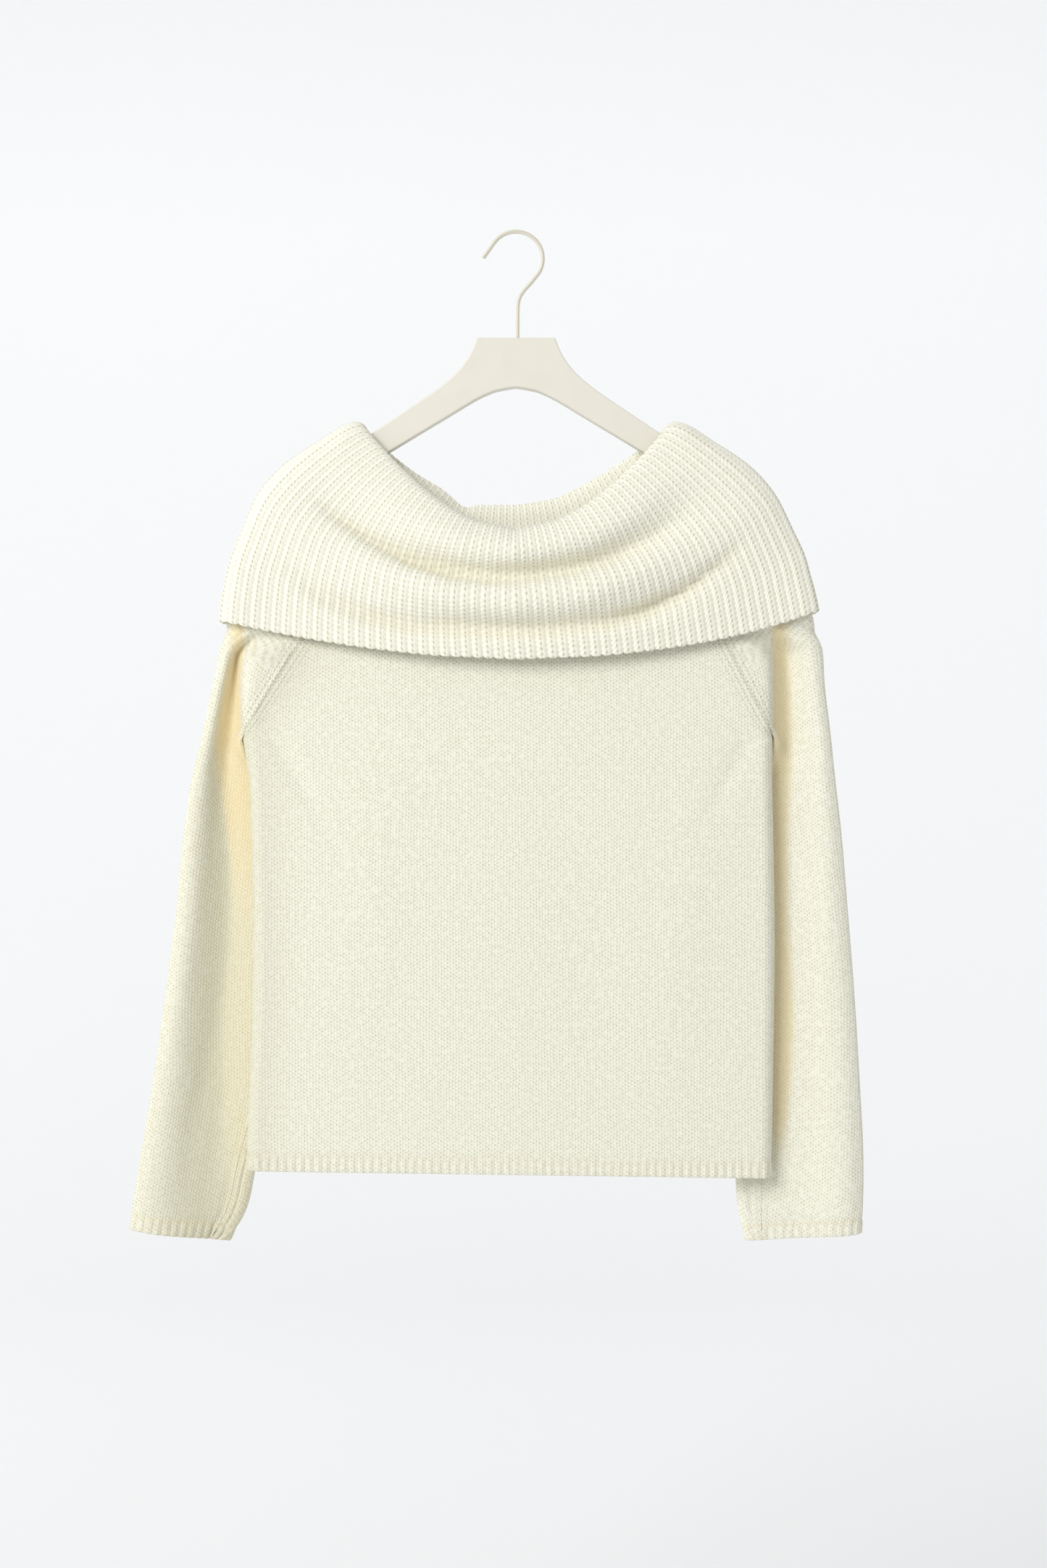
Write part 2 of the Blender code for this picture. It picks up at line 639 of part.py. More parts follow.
def build_wall(name, grid, before, after, closed_from, ribs, mat, collection):
    """A panel or sleeve as a closed wall, its rows joined round from closed_from on."""
    normal = wall_normals(grid, before, after)
    across = np.stack((grid[:, 1] - before, after - grid[:, -2]), axis=1)
    across = across / np.linalg.norm(across, axis=2, keepdims=True)
    grid = grid.copy()
    opened = slice(0, closed_from)
    grid[opened, 0] += across[opened, 0] * SEAM_GAP / 2
    grid[opened, -1] -= across[opened, 1] * SEAM_GAP / 2
    wall = Wall()
    face_rows = []
    back_rows = []
    for k, (points, out) in enumerate(zip(grid, normal)):
        joined = k >= closed_from
        places = run_of(points)
        ribbed_face, ribbed_back, ribbed_places = edge_ribs(points, out, ribs)
        if k == len(grid) - 1:
            back_rows.append(wall.row(ribbed_back, ribbed_places, joined))
        else:
            back_rows.append(wall.row(points - out * KNIT / 2, places, joined))
        if k >= len(grid) - 2:
            face_rows.append(wall.row(ribbed_face, ribbed_places, joined))
        else:
            face_rows.append(wall.row(points + out * KNIT / 2, places, joined))
    wall.skin(face_rows, back_rows)
    edge = min(closed_from + 1, len(grid))
    for last in (False, True):
        pick = -1 if last else 0
        sides = [([row[0][pick] for row in rows[:edge]], list(range(edge))) for rows in (back_rows, face_rows)]
        wall.strip(*(sides[::-1] if last else sides))
    return wall.build(name, mat, collection)


def build_garment(collection):
    """Front, back and sleeves, cut from one set of rings so that their seams meet."""
    names = ("front", "back", "sleeve_left", "sleeve_right")
    mats = [material(f"cream_wool_{name}", KNIT_COLOR, 0.9) for name in names]
    plain, _ = collar_columns()
    neck = collar_ring(COLLAR_TABLE[0], plain) - [0.0, 0.0, NECK_SEAM_GAP]
    right_front, left_front, left_back, right_back = neck_marks(neck)
    round_back = np.vstack((neck[right_back:], neck[: right_front + 1]))
    front = panel_grid(neck[right_front: left_front + 1], True)
    back = panel_grid(neck[left_back: right_back + 1], False)
    left = sleeve_grid(neck[left_front: left_back + 1], SLEEVE_LEFT_TABLE, -1)
    right = sleeve_grid(round_back[::-1], SLEEVE_RIGHT_TABLE, 1)[:, ::-1]
    open_rows = len(RAGLAN_ROWS)
    front_before = np.vstack((right[:open_rows, -2], back[open_rows:, -2]))
    front_after = np.vstack((left[:open_rows, 1], back[open_rows:, 1]))
    back_before = np.vstack((left[:open_rows, -2], front[open_rows:, -2]))
    back_after = np.vstack((right[:open_rows, 1], front[open_rows:, 1]))
    build_wall("front", front, front_before, front_after, len(front), HEM_RIBS, mats[0], collection)
    build_wall("back", back, back_before, back_after, len(back), HEM_RIBS, mats[1], collection)
    left_before = np.vstack((front[:open_rows, -2], left[open_rows:, -2]))
    left_after = np.vstack((back[:open_rows, 1], left[open_rows:, 1]))
    build_wall("sleeve_left", left, left_before, left_after, open_rows, CUFF_RIBS, mats[2], collection)
    right_before = np.vstack((back[:open_rows, -2], right[open_rows:, -2]))
    right_after = np.vstack((front[:open_rows, 1], right[open_rows:, 1]))
    build_wall("sleeve_right", right, right_before, right_after, open_rows, CUFF_RIBS, mats[3], collection)


def curve_object(name, points, collection, flat):
    """A poly curve through points, in millimetres; a flat one closes on itself."""
    curve = bpy.data.curves.new(name, "CURVE")
    curve.dimensions = "2D" if flat else "3D"
    spline = curve.splines.new("POLY")
    spline.points.add(len(points) - 1)
    for point, place in zip(spline.points, points):
        point.co = (*(v * MM for v in place), 1.0)
    spline.use_cyclic_u = flat
    obj = bpy.data.objects.new(name, curve)
    collection.objects.link(obj)
    return obj


def build_hanger_body(mat, collection):
    """Flat moulded hanger: plateau, hollow shoulders, two arms and the arch below."""
    shoulder = smooth_path([(*p, 0.0) for p in HANGER_SHOULDER], np.linspace(0.0, 5.0, 11))
    arch = smooth_path([(*p, 0.0) for p in HANGER_ARCH], np.linspace(0.0, 5.0, 11))
    top = [tuple(p[:2]) for p in shoulder]
    top_corner = (ARM_END_X - NOSE_R, HANGER_TOP_END_Z + 1.0)
    low_corner = (ARM_END_X - NOSE_R, HANGER_BOTTOM_END_Z + 4.5)
    nose = []
    for angle in np.radians((58.0, 30.0, 0.0)):
        nose.append((top_corner[0] + NOSE_R * math.cos(angle), top_corner[1] - NOSE_R + NOSE_R * math.sin(angle)))
    for angle in np.radians((0.0, -40.0, -80.0, -118.0)):
        nose.append((low_corner[0] + NOSE_R * math.cos(angle), low_corner[1] + NOSE_R * math.sin(angle)))
    half = top + nose + [tuple(p[:2]) for p in arch]
    outline = half + [(-x, z) for x, z in half[::-1][1:]]
    obj = curve_object("hanger_body", [(x, z, 0.0) for x, z in outline], collection, True)
    obj.data.fill_mode = "BOTH"
    obj.data.extrude = (HANGER_THICK / 2 - EDGE_ROUNDING) * MM
    obj.data.bevel_depth = EDGE_ROUNDING * MM
    obj.data.bevel_resolution = 1
    obj.data.offset = -EDGE_ROUNDING * MM
    obj.rotation_euler = (math.pi / 2, 0.0, 0.0)
    return as_mesh(obj, mat, collection)


def build_hanger_hook(mat, collection):
    """Bent wire hook, standing just clear on the hanger's plateau."""
    centre = -(HOOK_R - WIRE_D / 2)
    points = [(-29.0, 0.0, -21.5), (-24.5, 0.0, -15.2)]
    for angle in np.radians(np.linspace(146.0, -33.0, 22)):
        points.append((HOOK_R * math.cos(angle), 0.0, centre + HOOK_R * math.sin(angle)))
    points += [(13.5, 0.0, -43.5), (7.2, 0.0, -50.4), (4.0, 0.0, -55.0), (2.2, 0.0, -60.0), (1.6, 0.0, -66.0)]
    points += [(1.5, 0.0, -80.0), (1.5, 0.0, HANGER_SHOULDER[0][1] + SEAM_GAP)]
    obj = curve_object("hanger_hook", points, collection, False)
    obj.data.bevel_depth = WIRE_D / 2 * MM
    obj.data.bevel_resolution = 1
    obj.data.use_fill_caps = True
    return as_mesh(obj, mat, collection)


def as_mesh(obj, mat, collection):
    """Turn a curve object into a mesh object of the same name, its caps welded."""
    depsgraph = bpy.context.evaluated_depsgraph_get()
    mesh = bpy.data.meshes.new_from_object(obj.evaluated_get(depsgraph))
    name = obj.name
    place = obj.matrix_world.copy()
    bpy.data.objects.remove(obj, do_unlink=True)
    work = bmesh.new()
    work.from_mesh(mesh)
    bmesh.ops.remove_doubles(work, verts=work.verts, dist=0.02 * MM)
    bmesh.ops.recalc_face_normals(work, faces=work.faces)
    work.to_mesh(mesh)
    work.free()
    mesh.name = name
    mesh.shade_smooth()
    mesh.set_sharp_from_angle(angle=math.radians(35))
    mesh.materials.clear()
    mesh.materials.append(mat)
    solid = bpy.data.objects.new(name, mesh)
    solid.matrix_world = place
    collection.objects.link(solid)
    return solid


def main():
    for obj in list(bpy.data.objects):
        bpy.data.objects.remove(obj, do_unlink=True)
    garment = bpy.data.collections.new("off_shoulder_sweater")
    bpy.context.scene.collection.children.link(garment)
    build_garment(garment)
    build_collar(material("cream_wool_collar_rib", KNIT_COLOR, 0.9), garment)
    build_hanger_body(material("matt_lacquered_hanger", LACQUER_COLOR, 0.55), garment)
    build_hanger_hook(material("lacquered_steel_wire", LACQUER_COLOR, 0.4), garment)


main()
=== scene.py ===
"""Looks of an off-shoulder raglan sweater on its hanger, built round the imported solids."""
import math

import bpy
import numpy as np
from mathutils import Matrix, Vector


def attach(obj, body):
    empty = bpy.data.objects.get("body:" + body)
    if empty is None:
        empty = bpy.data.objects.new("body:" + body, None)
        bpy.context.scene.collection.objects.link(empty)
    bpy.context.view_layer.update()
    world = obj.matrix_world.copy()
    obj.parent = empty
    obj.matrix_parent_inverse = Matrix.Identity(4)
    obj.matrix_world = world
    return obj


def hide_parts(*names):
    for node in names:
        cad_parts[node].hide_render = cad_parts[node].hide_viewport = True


bl_info = {
    "name": "Off-shoulder sweater looks",
    "version": (1, 0, 0),
    "blender": (4, 5, 0),
    "location": "3D View > Sidebar > Sweater",
    "description": "Builds the knitted cloth, its ribs and stitches, and the hanger's finish",
    "category": "Object",
}

MM = 0.001
SEAM_CLEARANCE = 0.45

# cloth
KNIT = 2.4
COLLAR_WALL = 2.6
RIBS = 116
EDGE_BAND = 12.0
# body, measured at the outer face
UNDERARM_Z = -444.0
HEM_LEFT_Z = -830.5
HEM_RIGHT_Z = -837.0
BACK_HEM_DROP = 3.0
BODY_FRONT_Y = -10.5
BODY_BACK_Y = 9.0
SEAM_FRONT_X = 155.0
SEAM_BACK_X = 140.0
# side edges of the body, outer face: height, left x, right x
BODY_COLUMNS = ("z", "left", "right")
BODY_TABLE = (
    (-268, -221, 221),
    (-372, -243, 228),
    (-444, -243, 228),
    (-480, -237.5, 227.5),
    (-530, -235.5, 228.5),
    (-628, -233.5, 229.8),
    (-731, -235.5, 228.5),
    (-800, -238.5, 227.5),
    (-840, -239.5, 226.6),
)
# sleeves from the neckline to the cuff, all distances out from x = 0, outer faces:
# height at the outer fold, outermost fold, bottom of the valley beside the body and its
# depth, and the fold that lies hidden behind the body
SLEEVE_COLUMNS = ("z", "outer", "valley", "valley_y", "inner", "back_y")
SLEEVE_LEFT_TABLE = (
    (-268, 221, 219, 1, 200, 12),
    (-303, 241, 236, 3, 205, 13),
    (-338, 253, 245, 7, 207, 16),
    (-373, 262.4, 249.5, 10.5, 226, 20.5),
    (-409, 271.2, 253.5, 12, 208, 23),
    (-444, 278.5, 256, 12.5, 194, 24.5),
    (-487, 288.6, 257, 12.5, 190, 24.5),
    (-526, 294.4, 256, 12.5, 188, 24.5),
    (-603, 302.1, 256, 12.5, 190, 24.5),
    (-679, 312, 258, 12, 199, 24.5),
    (-756, 322.6, 261, 11.5, 213, 24.5),
    (-833, 334, 266, 10, 233, 24.5),
    (-871, 340, 272, 9, 242, 24.5),
    (-897, 343, 280, 8, 256, 24.5),
)
SLEEVE_RIGHT_TABLE = (
    (-268, 221, 219, 1, 200, 12),
    (-303, 244, 235, 3, 203, 13),
    (-338, 259.5, 239, 7, 203, 16),
    (-373, 269.6, 240, 10, 212, 20.5),
    (-409, 275, 240, 11, 190, 23.5),
    (-444, 279.5, 240, 11.5, 186, 24.5),
    (-487, 284, 240, 11.5, 182, 24.5),
    (-526, 288.5, 240, 11.5, 180, 24.5),
    (-603, 295, 240, 11.5, 182, 24.5),
    (-679, 301, 240, 11.5, 186, 24.5),
    (-756, 305.5, 241, 11, 191, 24.5),
    (-833, 308.8, 242, 10, 196, 24.5),
    (-871, 308.4, 244, 9, 199, 24.5),
    (-897, 307, 248, 8, 205, 24.5),
)
CUFF_INNER_Z = -897.0
CUFF_OUTER_Z = {-1: -884.0, 1: -887.5}
RIDGE_Y = -4.0
SLEEVE_RETURN_Y = 14.0
BACK_BULGE = 4.0
PLEAT_SHARES = (0.22, 0.42)
PLEAT_RUN = 40.0
CUFF_SLOPE_Z = (700.0, 890.0)
NECK_SHARES = (0.4, 0.64)
BULGE_SHARE = 0.38
DROP_Z = (450.0, 487.0)
SIDE_CROWDING = 0.35
UNDERARM_R = 12.6
UNDERARM_TURN = 75.0
# collar from the neckline seam up inside, over the fold and down the outer fall:
# half width and height at the sides, extra width on the right, then for the front and for
# the back the depth round the sides and the depth and height at the middle
COLLAR_COLUMNS = (
    "side", "side_z", "right_extra", "front_end", "front_y", "front_z", "back_end", "back_y", "back_z",
)
COLLAR_TABLE = (
    (221, -268, 0, 10.5, -11.5, -350, 10.5, 12, -325),
    (213.5, -246, 0, 10.5, -13, -335, 10.5, 13, -311),
    (209, -225, 0, 10.5, -14, -318, 10.5, 13.5, -297),
    (190, -212, 0, 10.5, -15, -303, 10.5, 14, -283),
    (163, -193.5, 0, 10.5, -16, -287, 10.5, 14.5, -265),
    (146, -183, 0, 10.5, -19, -274, 10.5, 16, -248),
    (133.5, -176.5, 0, 13.5, -26, -267, 13.5, 20.5, -240.5),
    (141.5, -171, 0, 17.5, -35, -271, 17, 25, -243),
    (168, -187.5, 0, 19, -40.5, -284, 18.5, 28, -257),
    (205, -215, 0, 18, -31, -305.5, 18.5, 29.5, -283),
    (228, -241, 1, 18, -40, -325, 19, 30.5, -307),
    (248.5, -286, 2.5, 17, -30.5, -350.5, 19.5, 31.5, -337),
    (254, -316, 4, 17, -31.5, -364, 20, 32, -356),
    (257.5, -343.5, 7, 16.5, -28.5, -377.5, 20.5, 32, -373),
)
# how much higher the right side of the free edge hangs, how square the ring's ends are, how
# the middle swells out, how far the cloth lies level over the hanger's arm, and how the fold
# line bows at the front and the back
COLLAR_RIGHT_RISE = 9.0
COLLAR_BLUNT = 6.0
COLLAR_SWELL = 1.3
OVER_ARM = 9.0
OVER_ARM_SOFT = 4.0
FOLD_BOW = {"front": 1.8, "back": 2.1}
# the small dip in the fold line at the back: middle, half width and depth
BACK_DIP = (-47.0, 13.0, 9.0)
ARC_POINTS = 181
SECTION_POINTS = 241

# soft troughs (below 0) and ridges of the cloth: x and z of the middle, turn in degrees,
# half length, half width and rise, in millimetres
FRONT_FOLDS = (
    (-200, -470, -62, 60, 9, -1.6),
    (196, -470, 62, 55, 9, -1.4),
    (-120, -560, 82, 150, 34, 1.2),
    (60, -640, 96, 160, 40, -1.2),
    (150, -600, 84, 130, 26, 1),
    (-20, -470, 12, 120, 24, 0.9),
)
BACK_FOLDS = (
    (-150, -480, 60, 70, 12, -1.6),
    (160, -500, -58, 80, 12, -1.5),
    (20, -620, 88, 150, 40, 1.3),
    (-90, -700, 95, 110, 30, -1.1),
)
LEFT_SLEEVE_FOLDS = (
    (-262, -470, 84, 70, 7, -1.4),
    (-292, -640, 83, 120, 9, 1.2),
    (-280, -760, 80, 90, 9, -1.2),
)
RIGHT_SLEEVE_FOLDS = (
    (256, -480, 92, 80, 7, -1.2),
    (272, -640, 91, 120, 9, 1.2),
    (262, -780, 93, 80, 8, -1),
)
# troughs and ridges on the hidden sides of both sleeves
BEHIND_FOLDS = (
    (-250, -560, 84, 110, 12, -1.5),
    (-280, -740, 80, 90, 12, 1.2),
    (240, -560, 95, 110, 12, -1.5),
    (255, -740, 96, 90, 12, 1.2),
)
# soft fullness of the sleeves just below the collar
SLEEVE_FULLNESS = (
    (-258, -352, 66, 26, 12, 3.5),
    (266, -352, -72, 34, 14, 5),
)
COLLAR_FOLDS = (
    (-120, -262, -28, 50, 8, -1.5),
    (118, -258, 30, 50, 8, -1.5),
)
COLLAR_BACK_FOLDS = (
    (-100, -270, 26, 60, 9, -1.8),
    (110, -262, -28, 60, 9, -1.6),
    (0, -310, 0, 90, 10, -1.6),
)
# the two creases pressed into the collar's front, each with a sharper stretch where the cloth
# folds over itself: half width, rise, shade, then x and z along each
COLLAR_CREASES = (
    (7.5, -7.5, 0.36, (
        (-176, -240), (-167, -248), (-128, -273), (-93, -291), (-57, -302), (-22, -307),
        (14, -303), (49, -298), (85, -288), (120, -272), (149, -252), (160, -240),
    )),
    (8, -7, 0.44, (
        (-222, -278), (-196, -303), (-168, -325), (-131, -341), (-90, -350), (-22, -353),
        (32, -352), (85, -345), (120, -334), (156, -315), (191, -290), (220, -266),
    )),
    (3.6, -4.2, 0.34, (
        (-190, -230), (-162, -251), (-128, -274), (-93, -292), (-57, -303), (-15, -308),
    )),
    (3.8, -4.2, 0.34, (
        (60, -350), (110, -337), (147, -320), (184, -291), (208, -268),
    )),
)
# painted shade in the gap beside the body, warm on the left and the body's cast shadow on the right: its
# width at the top and lower down, how soft its outer side is, how deep it is, the heights between which it
# fades and what is left of it
PAINTED_GAP_SHADE_LEFT = (11.0, 26.0, 5.0, 1.0, -500.0, -640.0, 0.3)
PAINTED_GAP_SHADE_RIGHT = (17.0, 17.0, 5.5, 0.9, -780.0, -838.0, 0.0)
# depths below the hook's crown between which its width changes, and how its edge wanders
BESIDE_Z = (348.0, 500.0)
BESIDE_WANDER = 0.16
BESIDE_PITCH = 41.0
# shade of the left sleeve, its middle and half width as shares of the width that shows, and
# the depths between which it starts
LEFT_SHADE = 0.75
LEFT_SHADE_PLACE = (0.42, 0.4)
LEFT_SHADE_Z = (380.0, 470.0)
# shade along the body's left side and its width
LEFT_EDGE_SHADE = 0.42
LEFT_EDGE_WIDTH = 26.0
# soft fullness of the collar over the shoulders, in the columns of the fold tables
COLLAR_FULLNESS = (
    (-198, -210, 40, 60, 40, 6.5),
    (198, -210, -40, 60, 40, 6.5),
    (-148, -176, 30, 18, 12, 3),
    (148, -176, -30, 18, 12, 3),
    (-256, -335, 80, 45, 26, 4.5),
    (262, -325, -80, 40, 20, 3),
)
# the rolls of cloth between the creases, in the columns of the creases
COLLAR_ROLLS = (
    (13, 6, 0, (
        (-160, -282), (-100, -314), (-50, -328), (0, -331), (50, -327), (110, -308), (160, -284),
    )),
    (12, 4.5, 0, (
        (-140, -240), (-90, -268), (-40, -286), (10, -288), (60, -278), (110, -254), (140, -232),
    )),
)
# share of a crease's length over which it fades at each end
CREASE_FADE = 0.3
# how the back's fold line stands higher on one side: middle, half width and rise
BACK_LIFT = (84.0, 46.0, 7.0)
# how far the fashioning marks reach from a raglan seam
SEAM_MARKS = 18.0
# the collar's ribs: rise, how far their valleys go below it, how full they are, how far they
# stand down at the free edge, and the share that is pressed flat over the hanger's arm
RIB_FINE_RISE = 1.05
RIB_FINE_DROP = 0.35
RIB_FULLNESS = 0.3
SCALLOP = 1.4
PRESSED_RIB = 0.7

# cloth tones: main, mottle, small holes, and a painted warm shade for hollows between layers of cloth
BODY_TONES = ("#F6F5E4", "#F0EEDB", "#B5B095", "#DCC793")
# the left sleeve's main, mottle and hole tones are a little darker and yellower than the body's: painted
# shade
LEFT_TONES = ("#F5F3E0", "#EFECD7", "#B3AD88", "#F2DDA8")
RIGHT_TONES = ("#F6F5E4", "#F0EEDB", "#B5B095", "#E8D29C")
# the collar's main and mottle tones are a little lighter than the body's: painted light
RIB_TONES = ("#F8F7E8", "#F2F0DF", "#B8B08A", "#CFC5A0")
# tone of cloth that turns away from the light
TURNED_TONE = "#C3BE98"

# fine surfaces: how many columns and rows each piece is drawn with
HALF_RING = 560
RAGLAN_FINE = 34
SIDE_FINE = 112
SLEEVE_FINE = 150
RIB_COLUMNS = 8
COLLAR_STEPS = 96
# how much of its slope the collar's curve keeps at each row of its table
SLACK = 0.8
# how far a free edge is turned up inside, and the share of its thickness that a side is folded in
TURN_IN = 4.0
SIDE_FOLD = 0.8
# depths between which a sleeve's columns spread out evenly, and the outer fold's share of them
EVENED_Z = (500.0, 760.0)
FOLD_SHARE = 6.0 / 16.0
# shares where a panel's raglan rows end and its rows below the underarm start
PANEL_SPLIT = (0.03, 0.006)

# stage, in metres
FLOOR_WIDE = 40.0
FLOOR_FRONT = 20.0
BACKDROP_HIGH = 7.0
BACKDROP_CURVE = 3.0
BACK_LIGHT_PLACE = (-3.4, 0.9, 1.4)
BACK_LIGHT_AIM = (-0.6, 6.0, 1.0)
BACK_LIGHT_SIZE = 2.0
KEY_PLACE = (-2.4, -3.4, 1.35)
KEY_AIM = (0.0, 0.0, -0.45)
KEY_SIZE = 2.2
PAINT_TONE = "#F3F4F4"
ROOM_TONE = "#FDFDFF"
# the camera looks level at the middle of the picture, which is as high as this at the cloth's
# front; its sensor is in millimetres
CAMERA_X = 0.0067
CAMERA_Z = -0.489
VIEW_HEIGHT = 1.3856
CLOTH_FRONT = 0.012
SENSOR = 36.0
# how near an edge has to lie to count as the floor's
NEARLY = 0.01

# stitches, in millimetres
WALE = 5.26
COURSE = 3.35
RIB_COURSE = 4.2
EDGE_PITCH = 7.6
FASHION_PITCH = 4.6
# rough wool with little gloss
WOOL = {
    "Roughness": 0.92, "Specular IOR Level": 0.25, "IOR": 1.45, "Sheen Weight": 0.25, "Sheen Roughness": 0.5,
}


def hermite(t, start, end, start_slope, end_slope, span=1.0):
    """Smooth curve from start to end with the given slopes, at t from 0 to 1."""
    first = (1 + 2 * t) * (1 - t) ** 2 * start + t * (1 - t) ** 2 * span * start_slope
    second = t * t * (3 - 2 * t) * end + t * t * (t - 1) * span * end_slope
    return first + second


def smooth_path(points, places, closed=False):
    """Points of a smooth curve at places counted in its own points from 0."""
    pts = np.asarray(points, dtype=float)
    chord = np.linalg.norm(np.diff(pts, axis=0), axis=1)[:, None]
    run = np.diff(pts, axis=0) / chord
    tangent = np.zeros_like(pts)
    tangent[1:-1] = (run[1:] * chord[:-1] + run[:-1] * chord[1:]) / (chord[1:] + chord[:-1])
    if closed:
        tangent[0] = (run[0] * chord[-1] + run[-1] * chord[0]) / (chord[0] + chord[-1])
        tangent[-1] = tangent[0]
    else:
        tangent[0] = run[0]
        tangent[-1] = run[-1]
    k = np.clip(np.floor(places).astype(int), 0, len(pts) - 2)
    t = (places - k)[:, None]
    return hermite(t, pts[k], pts[k + 1], tangent[k], tangent[k + 1], chord[k])


def along(dense, fractions):
    """Points at fractions of the length of a polyline."""
    length = run_along(dense, 0)
    want = np.asarray(fractions) * length[-1]
    return np.stack([np.interp(want, length, dense[:, k]) for k in range(3)], axis=1)


def read(table, columns, name, z):
    """One column of a table at a height, by smooth steps between its rows."""
    rows = sorted(table)
    heights = [row[0] for row in rows]
    values = np.array([row[columns.index(name)] for row in rows], dtype=float)
    slopes = np.gradient(values, heights)
    k = int(np.clip(np.searchsorted(heights, z) - 1, 0, len(rows) - 2))
    span = heights[k + 1] - heights[k]
    t = float(np.clip((z - heights[k]) / span, 0.0, 1.0))
    return hermite(t, values[k], values[k + 1], slopes[k], slopes[k + 1], span)


def ease(value, low, high):
    """Smooth step from 0 at low to 1 at high."""
    t = np.clip((value - low) / (high - low), 0.0, 1.0)
    return t * t * (3 - 2 * t)


def collar_ring(row, fractions_half):
    """One closed section of the collar: right side, front, left side, back."""
    value = dict(zip(COLLAR_COLUMNS, row))
    halves = []
    angle = np.linspace(0.0, math.pi, ARC_POINTS)
    c, s = np.cos(angle), np.sin(angle)
    power = 2.0 / COLLAR_BLUNT
    for half in ("front", "back"):
        half_width = np.where(c > 0, value["side"] + value["right_extra"], value["side"])
        across = np.sign(c) * np.abs(c) ** power
        x = half_width * across
        mid_y, mid_z, ends = (value[f"{half}_{part}"] for part in ("y", "z", "end"))
        swell = (abs(mid_y) - ends) * (1 - across ** 2) ** COLLAR_SWELL
        y = math.copysign(1.0, mid_y) * (ends * np.abs(s) ** power + swell)
        steps = np.hypot(np.diff(x), np.diff(y))
        run = np.concatenate(([0.0], np.cumsum(steps)))
        reach = np.minimum(run, run[-1] - run)
        past_arm = 0.5 * (reach - OVER_ARM + np.hypot(reach - OVER_ARM, OVER_ARM_SOFT))
        fall = past_arm / past_arm.max()
        lift = COLLAR_RIGHT_RISE * ease(-value["side_z"], 230.0, 340.0)
        side_z = value["side_z"] + np.where(c > 0, lift * c, 0.0)
        z = mid_z + (side_z - mid_z) * (1 - fall) ** FOLD_BOW[half]
        if half == "back":
            dip_x, dip_half, dip_depth = BACK_DIP
            near_fold = ease(mid_z, -300.0, -250.0)
            z = z - near_fold * dip_depth * np.exp(-((x - dip_x) / dip_half) ** 2)
        ring = np.stack((x, y, z), axis=1)
        halves.append(along(ring if half == "front" else ring[::-1], fractions_half)[:-1])
    return np.vstack(halves)


def body_edge(z, side):
    """Middle of the wall at the body's side, out from x = 0."""
    name = "left" if side < 0 else "right"
    return abs(read(BODY_TABLE, BODY_COLUMNS, name, z)) - KNIT / 2


def roll_y(x, edge, depth):
    """How far the body's rounded side stands from y = 0 at x."""
    past = min(max(0.0, x - (edge - depth)), depth)
    return math.sqrt(depth ** 2 - past ** 2)


def body_half(z, front, count, stops):
    """Section of the front, right to left, or of the back, left to right."""
    depth = abs(BODY_FRONT_Y) if front else BODY_BACK_Y
    edges = (body_edge(z, -1), body_edge(z, 1))
    pts = []
    for x in np.sin(np.linspace(-math.pi / 2, math.pi / 2, SECTION_POINTS)):
        edge = edges[1] if x > 0 else edges[0]
        px = min(max(x * edge, -stops[0]), stops[1])
        y = roll_y(abs(px), edge, depth)
        pts.append((px, -y if front else y, z))
    pts = np.array(pts)
    t = np.linspace(0.0, 1.0, count)
    crowded = t - SIDE_CROWDING * np.sin(2 * math.pi * t) / (2 * math.pi)
    return along(pts[::-1] if front else pts, crowded)


def widened(neck, seams, outer):
    """The neckline's curve round a shoulder, spread to a row's own seams and outer fold."""
    far = np.abs(neck[:, 0])
    tip = int(np.argmax(far))
    start = np.where(np.arange(len(neck)) <= tip, far[0], far[-1])
    want = np.where(np.arange(len(neck)) <= tip, seams[0], seams[1])
    return want + (far - start) / (far[tip] - start) * (outer - want)


def behind_tip(neck):
    """How far each of a sleeve's columns counts as its back: 0 at the tip and at the seam."""
    tip = int(np.argmax(np.abs(neck[:, 0])))
    part = np.clip((np.arange(len(neck)) - tip) / (len(neck) - 1 - tip), 0.0, 1.0)
    return np.sin(math.pi * part) ** 0.7


def round_body(centre, start_angle, distance):
    """A point on the sleeve's inner side, carried round the body's rounded back corner."""
    corner = (math.pi / 2 - start_angle) * UNDERARM_R
    if distance < corner:
        angle = start_angle + distance / UNDERARM_R
        return centre + UNDERARM_R * math.cos(angle), UNDERARM_R * math.sin(angle)
    return centre - (distance - corner), UNDERARM_R


